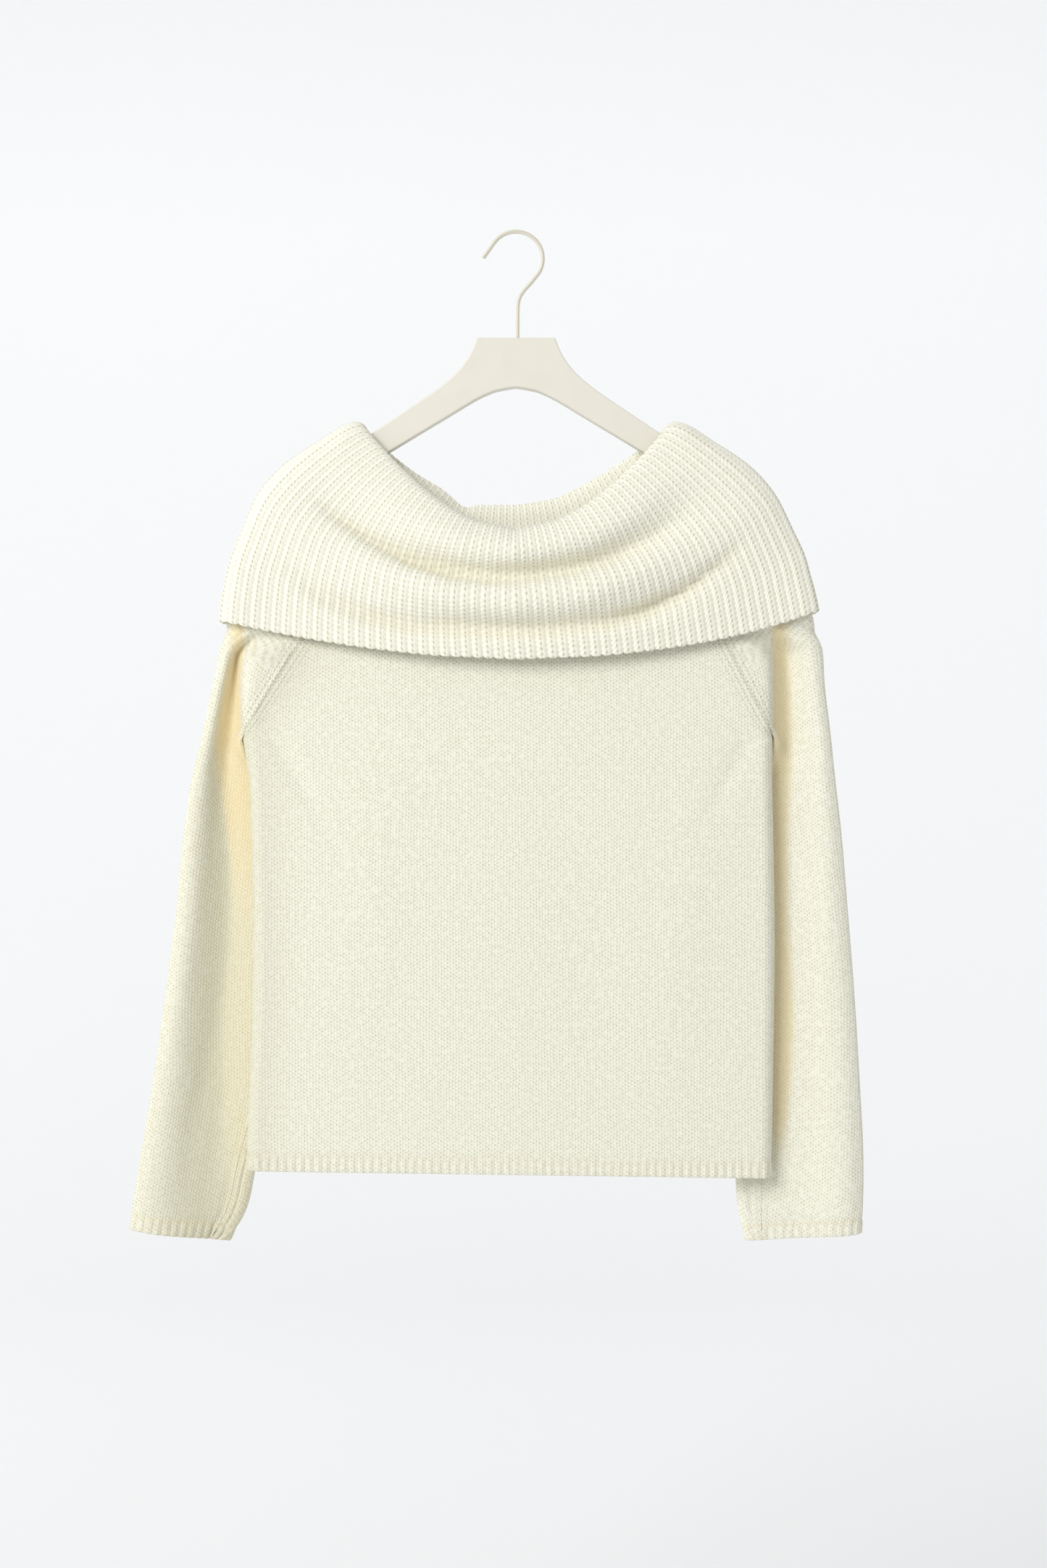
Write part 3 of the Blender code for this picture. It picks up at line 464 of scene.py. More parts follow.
def sleeve_section(table, side, z, share, seams):
    """Section of a sleeve through its named folds, from the front seam round to the back."""
    edge = body_edge(z, side)
    values = (read(table, SLEEVE_COLUMNS, name, z) for name in SLEEVE_COLUMNS[1:])
    outer, valley, valley_y, inner, back_y = values
    outer -= KNIT / 2
    inner += KNIT / 2
    middle = (outer + inner) / 2
    front_depth = abs(BODY_FRONT_Y)
    if seams is not None:
        front_x, back_x = seams
        turned = math.asin(np.clip((front_x - edge + front_depth) / front_depth, 0.0, 1.0))
        half_way = (turned + math.pi / 2) / 2
        roll_x = edge - front_depth + front_depth * math.sin(half_way)
        start = [
            (front_x, -roll_y(front_x, edge, front_depth), 0.0),
            (roll_x, -front_depth * math.cos(half_way), 0.45),
            (edge + 0.6, -0.5, 0.6),
        ]
        back_end_y = roll_y(back_x, edge, BODY_BACK_Y)
        turn_x = max((edge + back_x) / 2, edge - 6.0)
        end = [
            (inner + 6.5, SLEEVE_RETURN_Y, 0.4),
            ((inner + edge) / 2, SLEEVE_RETURN_Y, 0.3),
            (edge - 4.5, SLEEVE_RETURN_Y, 0.2),
            (edge - 1.0, 11.6, 0.15),
            (turn_x, roll_y(turn_x, edge, BODY_BACK_Y) + 0.4, 0.1),
            (back_x, back_end_y, 0.0),
        ]
    else:
        drop = float(ease(-z, *DROP_Z))
        centre = edge - BODY_BACK_Y
        turned = math.radians(UNDERARM_TURN * drop)
        under_x = centre + UNDERARM_R * math.cos(turned)
        under_y = UNDERARM_R * math.sin(turned)
        if under_x < inner + 15.0:
            centre += inner + 15.0 - under_x
            under_x = inner + 15.0
        valley = max(valley, under_x + 9.0)
        back_in = inner + 6.5
        gap = under_x - back_in
        near = round_body(centre, turned, min(6.0, gap * 0.25))
        far = round_body(centre, turned, min(13.0, gap * 0.5))
        start = [
            (under_x, under_y, 0.0),
            (under_x + 3.5, under_y + 2.0 * (1.0 - drop), 0.0),
            ((under_x + valley) / 2 + 1.0, (under_y + valley_y) / 2 + 0.5 * (1.0 - drop), 0.0),
        ]
        end = [
            (back_in, SLEEVE_RETURN_Y, 0.4),
            (back_in + (far[0] - back_in) / 3, SLEEVE_RETURN_Y, 0.0),
            (back_in + (far[0] - back_in) * 2 / 3, SLEEVE_RETURN_Y, 0.0),
            (*far, 0.0),
            (*near, 0.0),
            start[0],
        ]
    path = start + [
        (valley, valley_y, 0.8),
        (outer - 4.5, RIDGE_Y + 0.5, 0.95),
        (outer - 1.0, RIDGE_Y + 2.5, 1.0),
        (outer, 6.0, 1.0),
        (outer - 5.5, back_y - 8.0, 0.97),
    ]
    pleated = path + [
        (middle, back_y - 0.5, 0.75),
        (inner + 7.0, back_y, 0.5),
        (inner, (back_y + SLEEVE_RETURN_Y) / 2, 0.45),
    ] + end
    if seams is None:
        return np.array(pleated)
    top_x = min(outer - 16.0, back_x + PLEAT_RUN)
    sloped = list(path)
    for part in np.linspace(0.0, 1.0, 9):
        y = back_y - 0.5 + (back_end_y - back_y + 0.5) * float(ease(part, 0.0, 1.0))
        sloped.append((top_x + (back_x - top_x) * part, y, 0.9 * (1.0 - part)))
    weight = float(ease(share, *PLEAT_SHARES))
    return np.array(sloped) * weight + np.array(pleated) * (1.0 - weight)


def srgb(text):
    """Linear colour from an sRGB hex code."""
    values = [int(text[k:k + 2], 16) / 255 for k in (1, 3, 5)]
    return tuple(v / 12.92 if v <= 0.04045 else ((v + 0.055) / 1.055) ** 2.4 for v in values)


def add_node(tree, kind, inputs=None, **settings):
    """A node with its settings and inputs; an input may be a value or another socket."""
    node = tree.nodes.new(kind)
    for name, value in settings.items():
        setattr(node, name, value)
    for name, value in (inputs or {}).items():
        if isinstance(value, bpy.types.NodeSocket):
            tree.links.new(value, node.inputs[name])
        else:
            node.inputs[name].default_value = value
    return node


def maths(tree, operation, a, b=0.0):
    """Output of a Math node."""
    return add_node(tree, "ShaderNodeMath", {0: a, 1: b}, operation=operation).outputs[0]


def times(tree, a, b):
    """Product of two values."""
    return maths(tree, "MULTIPLY", a, b)


def swing(tree, turns):
    """Sine wave that turns once for each whole number."""
    return maths(tree, "SINE", times(tree, turns, 2 * math.pi))


def tint(tree, name):
    """A tint that the sheet's points carry."""
    return add_node(tree, "ShaderNodeAttribute", attribute_name=name).outputs["Fac"]


def noise(tree, coords, scale, detail, roughness=0.5):
    """Soft random value from 0 to 1."""
    settings = {"Vector": coords, "Scale": scale, "Detail": detail, "Roughness": roughness}
    return add_node(tree, "ShaderNodeTexNoise", settings).outputs["Fac"]


def mixed(tree, factor, a, b):
    """Output of a colour Mix node."""
    node = add_node(tree, "ShaderNodeMix", data_type="RGBA")
    for socket, value in ((node.inputs[0], factor), (node.inputs[6], a), (node.inputs[7], b)):
        if isinstance(value, bpy.types.NodeSocket):
            tree.links.new(value, socket)
        else:
            socket.default_value = value if isinstance(value, float) else (*value, 1.0)
    return node.outputs[2]


def smooth(tree, value, low, high):
    """Smooth step from 0 at low to 1 at high."""
    node = add_node(tree, "ShaderNodeMapRange", {0: value, 1: low, 2: high}, interpolation_type="SMOOTHSTEP")
    return node.outputs[0]


def tinted(tree, base, share, depth, tone):
    """The base colour with a tone mixed in, to the given depth where the share is 1."""
    return mixed(tree, times(tree, share, depth), base, srgb(tone))


def new_material(name):
    """An empty node material with its Principled shader."""
    mat = bpy.data.materials.new(name)
    mat.use_nodes = True
    tree = mat.node_tree
    return mat, tree, tree.nodes["Principled BSDF"]


def cloth_material(name):
    """A new material with the sheet's cloth coordinates and its place in space."""
    mat, tree, shader = new_material(name)
    uv = add_node(tree, "ShaderNodeUVMap", uv_map="cloth")
    parts = add_node(tree, "ShaderNodeSeparateXYZ", {0: uv.outputs[0]})
    coords = add_node(tree, "ShaderNodeTexCoord").outputs["Object"]
    return mat, tree, shader, parts.outputs, coords


def coated(tree, shader, color, relief, strength, distance):
    """Give a shader its colour and a relief that is distance metres high."""
    bump = add_node(tree, "ShaderNodeBump", {"Height": relief, "Strength": strength, "Distance": distance})
    tree.links.new(color, shader.inputs["Base Color"])
    tree.links.new(bump.outputs[0], shader.inputs["Normal"])


def from_middle(tree, across):
    """Distance from the middle of a wale or rib: 0 there and 1 at its sides."""
    cell = maths(tree, "FRACT", across)
    return times(tree, maths(tree, "ABSOLUTE", maths(tree, "SUBTRACT", cell, 0.5)), 2.0)


def stitch_height(tree, across, along_it, slant):
    """Height of plain knit: in each stitch two slanting legs that meet in a V.

    across counts wales and along_it counts courses. The height is 1 on a leg's back and 0 in
    the small holes between legs. With it comes how far a point lies from its stitch's middle.
    """
    far = from_middle(tree, across)
    leg = maths(tree, "FRACT", maths(tree, "ADD", along_it, times(tree, far, slant)))
    round_leg = maths(tree, "POWER", maths(tree, "SINE", times(tree, leg, math.pi)), 0.7)
    round_width = maths(tree, "POWER", maths(tree, "SINE", times(tree, far, math.pi)), 0.6)
    return times(tree, round_leg, round_width), far


def yarn_relief(tree, coords):
    """Fine twist of the yarn and short fibres standing off it."""
    return noise(tree, coords, 1400.0, 3.0, 0.65), noise(tree, coords, 260.0, 2.0)


def knit_material(name, main, shade, hole_tone, hollow_shade_tone):
    """Cream wool in plain knit: soft matt cloth with V stitches, small holes and light fuzz."""
    mat, tree, shader, parts, coords = cloth_material(name)
    # the stitches wander a little, as in soft yarn
    drift = noise(tree, coords, 45.0, 1.0)
    wander = times(tree, maths(tree, "SUBTRACT", drift, 0.5), 0.5)
    u = maths(tree, "ADD", maths(tree, "DIVIDE", parts[0], WALE * MM), wander)
    v = maths(tree, "ADD", maths(tree, "DIVIDE", parts[1], COURSE * MM), wander)
    height, far = stitch_height(tree, u, v, 0.85)
    fine, loose = yarn_relief(tree, coords)
    # small holes in the middle of each V and, on the other beat, between the wales
    beat = swing(tree, v)
    other_beat = times(tree, beat, -1.0)
    in_middle = maths(tree, "SUBTRACT", 1.0, smooth(tree, far, 0.05, 0.42))
    centre = times(tree, in_middle, smooth(tree, beat, -0.1, 0.9))
    between = times(tree, smooth(tree, far, 0.58, 0.95), smooth(tree, other_beat, -0.1, 0.9))
    hole = times(tree, maths(tree, "MAXIMUM", centre, between), smooth(tree, loose, 0.25, 0.6))
    mottled = mixed(tree, smooth(tree, loose, 0.3, 0.75), srgb(main), srgb(shade))
    color = tinted(tree, mottled, hole, 0.62, hole_tone)
    # slanting slits of the fashioning marks beside a raglan seam
    window = tint(tree, "seam")
    column = maths(tree, "DIVIDE", tint(tree, "from_seam"), FASHION_PITCH * MM)
    slit = smooth(tree, swing(tree, column), 0.3, 1.0)
    step = smooth(tree, swing(tree, maths(tree, "ADD", v, column)), -0.5, 0.6)
    marks = times(tree, window, times(tree, slit, step))
    color = tinted(tree, color, marks, 0.5, hole_tone)
    # painted shade where the cloth turns away from the light, then painted warm shade in the hollows between
    # layers
    color = tinted(tree, color, tint(tree, "turned"), 0.6, TURNED_TONE)
    color = tinted(tree, color, tint(tree, "valley"), 0.7, hollow_shade_tone)
    relief = maths(tree, "ADD", times(tree, height, 0.55), times(tree, fine, 0.22))
    relief = maths(tree, "ADD", relief, times(tree, loose, 0.3))
    relief = maths(tree, "SUBTRACT", relief, marks)
    coated(tree, shader, color, relief, 0.55, 0.0012)
    wool_surface(shader)
    return mat


def rib_material(name, main, shade, hole_tone, hollow_shade_tone):
    """Cream wool rib: tall round ribs with the V of each stitch and dark pinholes between."""
    mat, tree, shader, parts, coords = cloth_material(name)
    v = maths(tree, "DIVIDE", parts[1], RIB_COURSE * MM)
    height = stitch_height(tree, parts[0], v, 0.8)[0]
    fine, loose = yarn_relief(tree, coords)
    from_valley = from_middle(tree, maths(tree, "ADD", parts[0], 0.5))
    in_valley = maths(tree, "SUBTRACT", 1.0, smooth(tree, from_valley, 0.03, 0.28))
    beat = swing(tree, v)
    dot = times(tree, in_valley, smooth(tree, beat, -0.2, 0.8))
    on_ridge = times(
        tree, smooth(tree, from_valley, 0.72, 0.97), smooth(tree, times(tree, beat, -1.0), -0.2, 0.8)
    )
    mottled = mixed(tree, smooth(tree, loose, 0.3, 0.75), srgb(main), srgb(shade))
    # painted shade: the rib valleys are tinted a little darker
    color = tinted(tree, mottled, in_valley, 0.14, hole_tone)
    # pinholes in the valleys, fainter ones along the ridges, then painted warm shade in the creases
    color = tinted(tree, color, dot, 0.6, hole_tone)
    color = tinted(tree, color, on_ridge, 0.28, hole_tone)
    color = tinted(tree, color, tint(tree, "valley"), 0.6, hollow_shade_tone)
    relief = maths(tree, "ADD", times(tree, height, 0.8), times(tree, fine, 0.22))
    relief = maths(tree, "SUBTRACT", relief, times(tree, dot, 0.8))
    coated(tree, shader, color, relief, 0.5, 0.0008)
    wool_surface(shader)
    return mat


def wool_surface(shader):
    """Wool scatters light widely: rough, with a faint pale sheen at grazing angles."""
    for name, value in WOOL.items():
        shader.inputs[name].default_value = value


def lacquer_material(name, color, roughness, grain):
    """Matt cream lacquer with a faint orange-peel relief."""
    mat, tree, shader = new_material(name)
    coords = add_node(tree, "ShaderNodeTexCoord").outputs["Object"]
    peel = noise(tree, coords, 900.0, 2.0)
    wear = noise(tree, coords, 35.0, 3.0)
    tone = mixed(tree, smooth(tree, wear, 0.35, 0.7), srgb(color), srgb(grain))
    coated(tree, shader, tone, peel, 0.12, 0.0004)
    shader.inputs["Roughness"].default_value = roughness
    shader.inputs["IOR"].default_value = 1.5
    return mat


def surface(name, grid, cloth_u, cloth_v, marks, mat, joined=False):
    """A fine sheet mesh from a grid of points in mm, with cloth coordinates and tints."""
    rows, columns = grid.shape[:2]
    across = columns - 1
    used = across if joined else columns
    points = grid[:, :used].reshape(-1, 3) * MM
    row, column = np.meshgrid(np.arange(rows - 1), np.arange(across), indexing="ij")
    after = (column + 1) % used if joined else column + 1
    quads = np.stack(
        (row * used + column, row * used + after, (row + 1) * used + after, (row + 1) * used + column), axis=2
    ).reshape(-1, 4)
    mesh = bpy.data.meshes.new(name)
    mesh.from_pydata(points.tolist(), [], quads.tolist())
    layer = mesh.uv_layers.new(name="cloth")
    places = np.stack((row, row, row + 1, row + 1), axis=2)
    spots = np.stack((column, column + 1, column + 1, column), axis=2)
    flat = np.stack((cloth_u[places, spots], cloth_v[places, spots]), axis=3).reshape(-1)
    layer.data.foreach_set("uv", flat.astype(np.float32))
    for key, values in marks.items():
        attribute = mesh.attributes.new(key, "FLOAT", "POINT")
        attribute.data.foreach_set("value", values[:, :used].reshape(-1).astype(np.float32))
    mesh.shade_smooth()
    mesh.materials.append(mat)
    obj = bpy.data.objects.new(name, mesh)
    bpy.context.scene.collection.objects.link(obj)
    return obj


def run_along(grid, axis):
    """Distance along a line, or along a grid's rows or columns, from their first points."""
    steps = np.linalg.norm(np.diff(grid, axis=axis), axis=-1)
    pad = [(0, 0)] * steps.ndim
    pad[axis] = (1, 0)
    return np.pad(np.cumsum(steps, axis=axis), pad)


def turned_in(grid, normal, cloth_v, thickness):
    """Extra rows that carry a free edge round and back up inside."""
    last = grid[-1]
    out = normal[-1]
    up = grid[-4] - grid[-1]
    up = up / np.linalg.norm(up, axis=1, keepdims=True)
    extra = []
    for inward, rise in ((0.15, -0.25), (0.5, -0.4), (0.85, -0.25), (1.0, 0.3), (1.0, TURN_IN / thickness)):
        extra.append(last - out * inward * thickness + up * rise * thickness)
    gaps = np.array([0.3, 0.6, 0.6, 0.5, 1.0])[:, None] * thickness * MM
    more = cloth_v[-1] + np.cumsum(gaps, axis=0)
    return np.concatenate((grid, np.array(extra))), np.concatenate((cloth_v, more))


def lengthened(grid, rows):
    """A grid whose last row is repeated for the rows that a free edge was given."""
    return np.concatenate((grid, np.repeat(grid[-1:], rows - len(grid), axis=0)))


def sides_in(grid, normal, cloth_u, cloth_v, marks):
    """One more column at each side, folded inwards like a seam allowance."""
    inward = lengthened(normal, len(grid)) * KNIT * SIDE_FOLD
    first = grid[:, :1] - inward[:, :1]
    last = grid[:, -1:] - inward[:, -1:]
    wide = np.concatenate((first, grid, last), axis=1)
    across, down, *rest = (
        np.pad(values, ((0, 0), (1, 1)), mode="edge") for values in (cloth_u, cloth_v, *marks.values())
    )
    return wide, across, down, dict(zip(marks, rest))


def knit_sheet(name, face, normal, run, heights, marks, mat, mirrored):
    """A panel or sleeve: free edge turned in, sides folded in, cloth coordinates laid on."""
    grid, v = turned_in(face, normal, -heights * MM, KNIT)
    marks = {key: lengthened(values, len(grid)) for key, values in marks.items()}
    grid, u, v, marks = sides_in(grid, normal, lengthened(run, len(grid)) * MM, v, marks)
    if mirrored:
        grid, u, v = grid[:, ::-1], u[:, ::-1], v[:, ::-1]
        marks = {key: values[:, ::-1] for key, values in marks.items()}
    return surface(name, grid, u, v, marks, mat)


def fine_neck():
    """The neckline's ring in fine columns, and the places of the four raglan seams on it."""
    neck = collar_ring(COLLAR_TABLE[0], np.linspace(0.0, 1.0, HALF_RING + 1)) - [0.0, 0.0, SEAM_CLEARANCE]
    half = len(neck) // 2
    front = int(np.argmin(np.abs(neck[: half // 2, 0] - SEAM_FRONT_X)))
    back = int(np.argmin(np.abs(neck[half: half + half // 2, 0] + SEAM_BACK_X)))
    return neck, front, half - front, half + back, len(neck) - back


def low_row(share, front, count):
    """A row of a panel below the underarm, level at the top and at the hem's slope."""
    start = UNDERARM_Z - 3.0
    middle = (HEM_LEFT_Z + HEM_RIGHT_Z) / 2
    z = start + (middle - start) * share
    row = body_half(z, front, count, (math.inf, math.inf))
    lean = (row[:, 0] - row[:, 0].min()) / np.ptp(row[:, 0])
    hem = HEM_LEFT_Z + (HEM_RIGHT_Z - HEM_LEFT_Z) * lean
    if not front:
        hem = hem - BACK_HEM_DROP * np.sin(math.pi * lean) ** 2
    row[:, 2] = start + (hem - start) * share
    return row


def raglan_row(neck, front, share):
    """A row of a panel between its two raglan seams."""
    ends = (abs(neck[-1 if front else 0, 0]), abs(neck[0 if front else -1, 0]))
    z_side = UNDERARM_Z + (COLLAR_TABLE[0][1] - UNDERARM_Z) * share
    under = (body_edge(UNDERARM_Z, -1), body_edge(UNDERARM_Z, 1))
    stops = [u + (e - u) * share for u, e in zip(under, ends)]
    row = body_half(z_side, front, len(neck), stops)
    plain = neck.copy()
    plain[:, 0] = np.interp(neck[:, 0], np.sort(neck[[0, -1], 0]), (-stops[0], stops[1]))
    blend = float(ease(share, *NECK_SHARES))
    row = row * (1 - blend) + plain * blend
    row[:, 2] = UNDERARM_Z + (neck[:, 2] - UNDERARM_Z) * share
    return row


def open_sleeve_row(neck, table, side, share):
    """A row of a sleeve between its two raglan seams, from the front seam to the back one."""
    under = body_edge(UNDERARM_Z, side)
    z = UNDERARM_Z + (neck[np.argmax(np.abs(neck[:, 0])), 2] - UNDERARM_Z) * share
    seams = [under + (abs(end[0]) - under) * share for end in (neck[0], neck[-1])]
    path = sleeve_section(table, side, z, share, seams)
    row = smooth_path(path, np.linspace(0.0, len(path) - 1.0, len(neck)))
    seam_z = [UNDERARM_Z + (end[2] - UNDERARM_Z) * share for end in (neck[0], neck[-1])]
    base = seam_z[0] + (seam_z[1] - seam_z[0]) * np.linspace(0.0, 1.0, len(neck))
    row[:, 2] = base + (z - base) * np.clip(row[:, 2], 0.0, 1.0)
    outer = read(table, SLEEVE_COLUMNS, "outer", z) - KNIT / 2
    plain = neck.copy()
    plain[:, 0] = neck[:, 0] * side if share == 1.0 else widened(neck, seams, outer)
    plain[:, 2] = UNDERARM_Z + (neck[:, 2] - UNDERARM_Z) * share
    plain[:, 1] += BACK_BULGE * min(1.0, (1.0 - share) / BULGE_SHARE) * behind_tip(neck)
    blend = float(ease(share, *NECK_SHARES))
    row = row * (1 - blend) + plain * blend
    row[:, 0] *= side
    return row


def closed_sleeve_row(table, side, z, count):
    """A row of a sleeve below the underarm, all the way round."""
    path = sleeve_section(table, side, z, 0.0, None)
    row = smooth_path(path, np.linspace(0.0, len(path) - 1.0, count), closed=True)
    steps = np.linalg.norm(np.diff(row, axis=0), axis=1)
    own = np.concatenate(([0.0], np.cumsum(steps))) / steps.sum()
    evened = float(ease(-z, *EVENED_Z))
    row = along(row, own * (1.0 - evened) + np.linspace(0.0, 1.0, count) * evened)
    slope = float(ease(-z, *CUFF_SLOPE_Z)) * (CUFF_OUTER_Z[side] - CUFF_INNER_Z)
    reach = (row[:, 0] - row[:, 0].min()) / np.ptp(row[:, 0])
    row[:, 2] = z + slope * reach
    row[:, 0] *= side
    return row


def face_normals(grid, joined):
    """Unit normals on the outer side of a grid of points."""
    if joined:
        wide = np.concatenate((grid[:, -2:-1], grid, grid[:, 1:2]), axis=1)
        across = wide[:, 2:] - wide[:, :-2]
    else:
        across = np.gradient(grid, axis=1)
    normal = np.cross(across, np.gradient(grid, axis=0))
    return normal / np.maximum(np.linalg.norm(normal, axis=2, keepdims=True), 1e-9)


def folds(grid, table):
    """Rise of the soft troughs and ridges of a table at each point of a grid."""
    total = np.zeros(grid.shape[:2])
    for x, z, turn, half_length, half_width, rise in table:
        dx, dz = grid[:, :, 0] - x, grid[:, :, 2] - z
        c, s = math.cos(math.radians(turn)), math.sin(math.radians(turn))
        along_it = (dx * c + dz * s) / half_length
        across = (dz * c - dx * s) / half_width
        total += rise * np.exp(-along_it ** 2 - across ** 2)
    return total


def creases(grid, table):
    """Rise and shade of creases that follow lines across the cloth."""
    rise = np.zeros(grid.shape[:2])
    shade = np.zeros(grid.shape[:2])
    for half_width, height, tone, line in table:
        points = np.array(line)
        nearest = np.full(grid.shape[:2], math.inf)
        place = np.zeros(grid.shape[:2])
        for k, (start, end) in enumerate(zip(points, points[1:])):
            run = end - start
            to_x, to_z = grid[:, :, 0] - start[0], grid[:, :, 2] - start[1]
            share = np.clip((to_x * run[0] + to_z * run[1]) / (run @ run), 0.0, 1.0)
            away = np.hypot(to_x - share * run[0], to_z - share * run[1])
            place = np.where(away < nearest, (k + share) / (len(points) - 1), place)
            nearest = np.minimum(nearest, away)
        near = np.exp(-(nearest / half_width) ** 2)
        fade = ease(place, 0.0, CREASE_FADE) * ease(1.0 - place, 0.0, CREASE_FADE)
        rise += height * near * fade
        shade += tone * near * fade
    return rise, shade


def edge_rib(run, z):
    """Rise and shade of the short ribs of a hem or cuff: run is the distance across, in mm."""
    past = z - z[-1:] - EDGE_BAND
    wave = 0.5 + 0.5 * np.cos(2 * math.pi * run / EDGE_PITCH)
    inside = 1.0 - ease(past, -1.5, 1.5)
    groove = np.exp(-((past - 0.5) / 1.4) ** 2)
    # painted shade: darker between the short ribs and in the groove above the band
    shade = np.clip(inside * (1.0 - wave) * 0.12 + groove * 0.3, 0.0, 1.0)
    return inside * (wave ** 0.7 * 1.1 - 0.4) - 0.7 * groove, shade


def beside_seam(run):
    """How far each point lies from its row's nearer end, and how plain the seam's marks are."""
    near = np.minimum(run - run[:, :1], run[:, -1:] - run)
    seam = np.zeros(run.shape)
    seam[:RAGLAN_FINE] = 1.0 - ease(near[:RAGLAN_FINE], 3.0, SEAM_MARKS)
    return near, seam


def make_panel(name, front, mat):
    """The front or the back as one fine sheet."""
    neck, right_front, left_front, left_back, right_back = fine_neck()
    part = neck[right_front:left_front + 1] if front else neck[left_back:right_back + 1]
    rows = [raglan_row(part, front, share) for share in np.linspace(1.0, PANEL_SPLIT[0], RAGLAN_FINE)]
    rows += [low_row(share, front, len(part)) for share in np.linspace(PANEL_SPLIT[1], 1.0, SIDE_FINE)]
    grid = np.array(rows)
    run = run_along(grid, 1)
    middle = [np.interp(0.0, row[:, 0] * (-1 if front else 1), r) for row, r in zip(grid, run)]
    run = run - np.array(middle)[:, None]
    normal = face_normals(grid, False)
    ribs, rib_shade = edge_rib(run, grid[:, :, 2])
    rise = folds(grid, FRONT_FOLDS if front else BACK_FOLDS) + ribs
    face = grid + normal * (KNIT / 2 + rise)[:, :, None]
    near, seam = beside_seam(run)
    seam[RAGLAN_FINE:] = (1.0 - ease(near[RAGLAN_FINE:], 1.0, 4.0)) * 0.4
    # painted shade along the body's left side
    from_left = grid[:, :, 0] - grid[:, :, 0].min(axis=1, keepdims=True)
    turned = LEFT_EDGE_SHADE * np.exp(-(from_left / LEFT_EDGE_WIDTH) ** 2)
    marks = {"seam": seam, "from_seam": near * MM, "valley": rib_shade, "turned": turned}
    return knit_sheet(name, face, normal, run, grid[:, :, 2], marks, mat, False)


def make_sleeve(name, side, mat):
    """A sleeve as one fine sheet: open to its raglan seams above, a tube below."""
    neck, right_front, left_front, left_back, right_back = fine_neck()
    if side < 0:
        part = neck[left_front:left_back + 1]
        table, hollows, gap, shade = SLEEVE_LEFT_TABLE, LEFT_SLEEVE_FOLDS, PAINTED_GAP_SHADE_LEFT, LEFT_SHADE
    else:
        part = np.vstack((neck[right_back:], neck[:right_front + 1]))[::-1]
        table, hollows, gap, shade = SLEEVE_RIGHT_TABLE, RIGHT_SLEEVE_FOLDS, PAINTED_GAP_SHADE_RIGHT, 0.0
    rows = [open_sleeve_row(part, table, side, share) for share in np.linspace(1.0, 0.04, RAGLAN_FINE)]
    heights = np.linspace(UNDERARM_Z - 7.0, CUFF_INNER_Z, SLEEVE_FINE)
    rows += [closed_sleeve_row(table, side, z, len(part)) for z in heights]
    grid = np.array(rows)
    run = run_along(grid, 1)
    # the ribs are counted from the outer fold
    fold_place = (len(part) - 1) * FOLD_SHARE
    run = run - np.array([np.interp(fold_place, np.arange(len(part)), row) for row in run])[:, None]
    normal = face_normals(grid, False)
    normal[RAGLAN_FINE:] = face_normals(grid, True)[RAGLAN_FINE:]
    if side > 0:
        normal = -normal
    near, seam = beside_seam(run)
    x, z = np.abs(grid[:, :, 0]), grid[:, :, 2]
    behind = ease(normal[:, :, 1], 0.0, 0.5)
    rise = folds(grid, hollows) * (1.0 - behind) + folds(grid, BEHIND_FOLDS) * behind
    rise += folds(grid, SLEEVE_FULLNESS)
    ribs, rib_shade = edge_rib(run, z)
    rise += ribs
    face = grid + normal * (KNIT / 2 + rise)[:, :, None]
    # painted shade where the sleeve goes in beside the body, and where it turns away from the light
    in_front = normal[:, :, 1] < 0.3
    levels = z.mean(axis=1)
    edge = np.array([body_edge(level, side) for level in levels])[:, None]
    outer = np.array([read(table, SLEEVE_COLUMNS, "outer", level) for level in levels])[:, None]
    top_width, low_width, soft, depth, fade_top, fade_low, left_over = gap
    width = top_width + (low_width - top_width) * ease(-z, *BESIDE_Z)
    width = width * (1.0 + BESIDE_WANDER * np.sin(z / BESIDE_PITCH))
    out = x - edge
    beside = ease(out, -1.0, 1.5) * (1.0 - ease(out, width - soft, width + soft)) * in_front
    beside *= depth * (1.0 - (1.0 - left_over) * ease(z, fade_top, fade_low))
    middle, half_width = LEFT_SHADE_PLACE
    turned = np.exp(-((out / (outer - edge) - middle) / half_width) ** 2) * in_front
    turned = turned * ease(-z, *LEFT_SHADE_Z) * shade * (1.0 - beside)
    valley = np.maximum(beside, rib_shade)
    marks = {"seam": seam, "from_seam": near * MM, "valley": valley, "turned": turned}
    return knit_sheet(name, face, normal, run, grid[:, :, 2], marks, mat, side > 0)


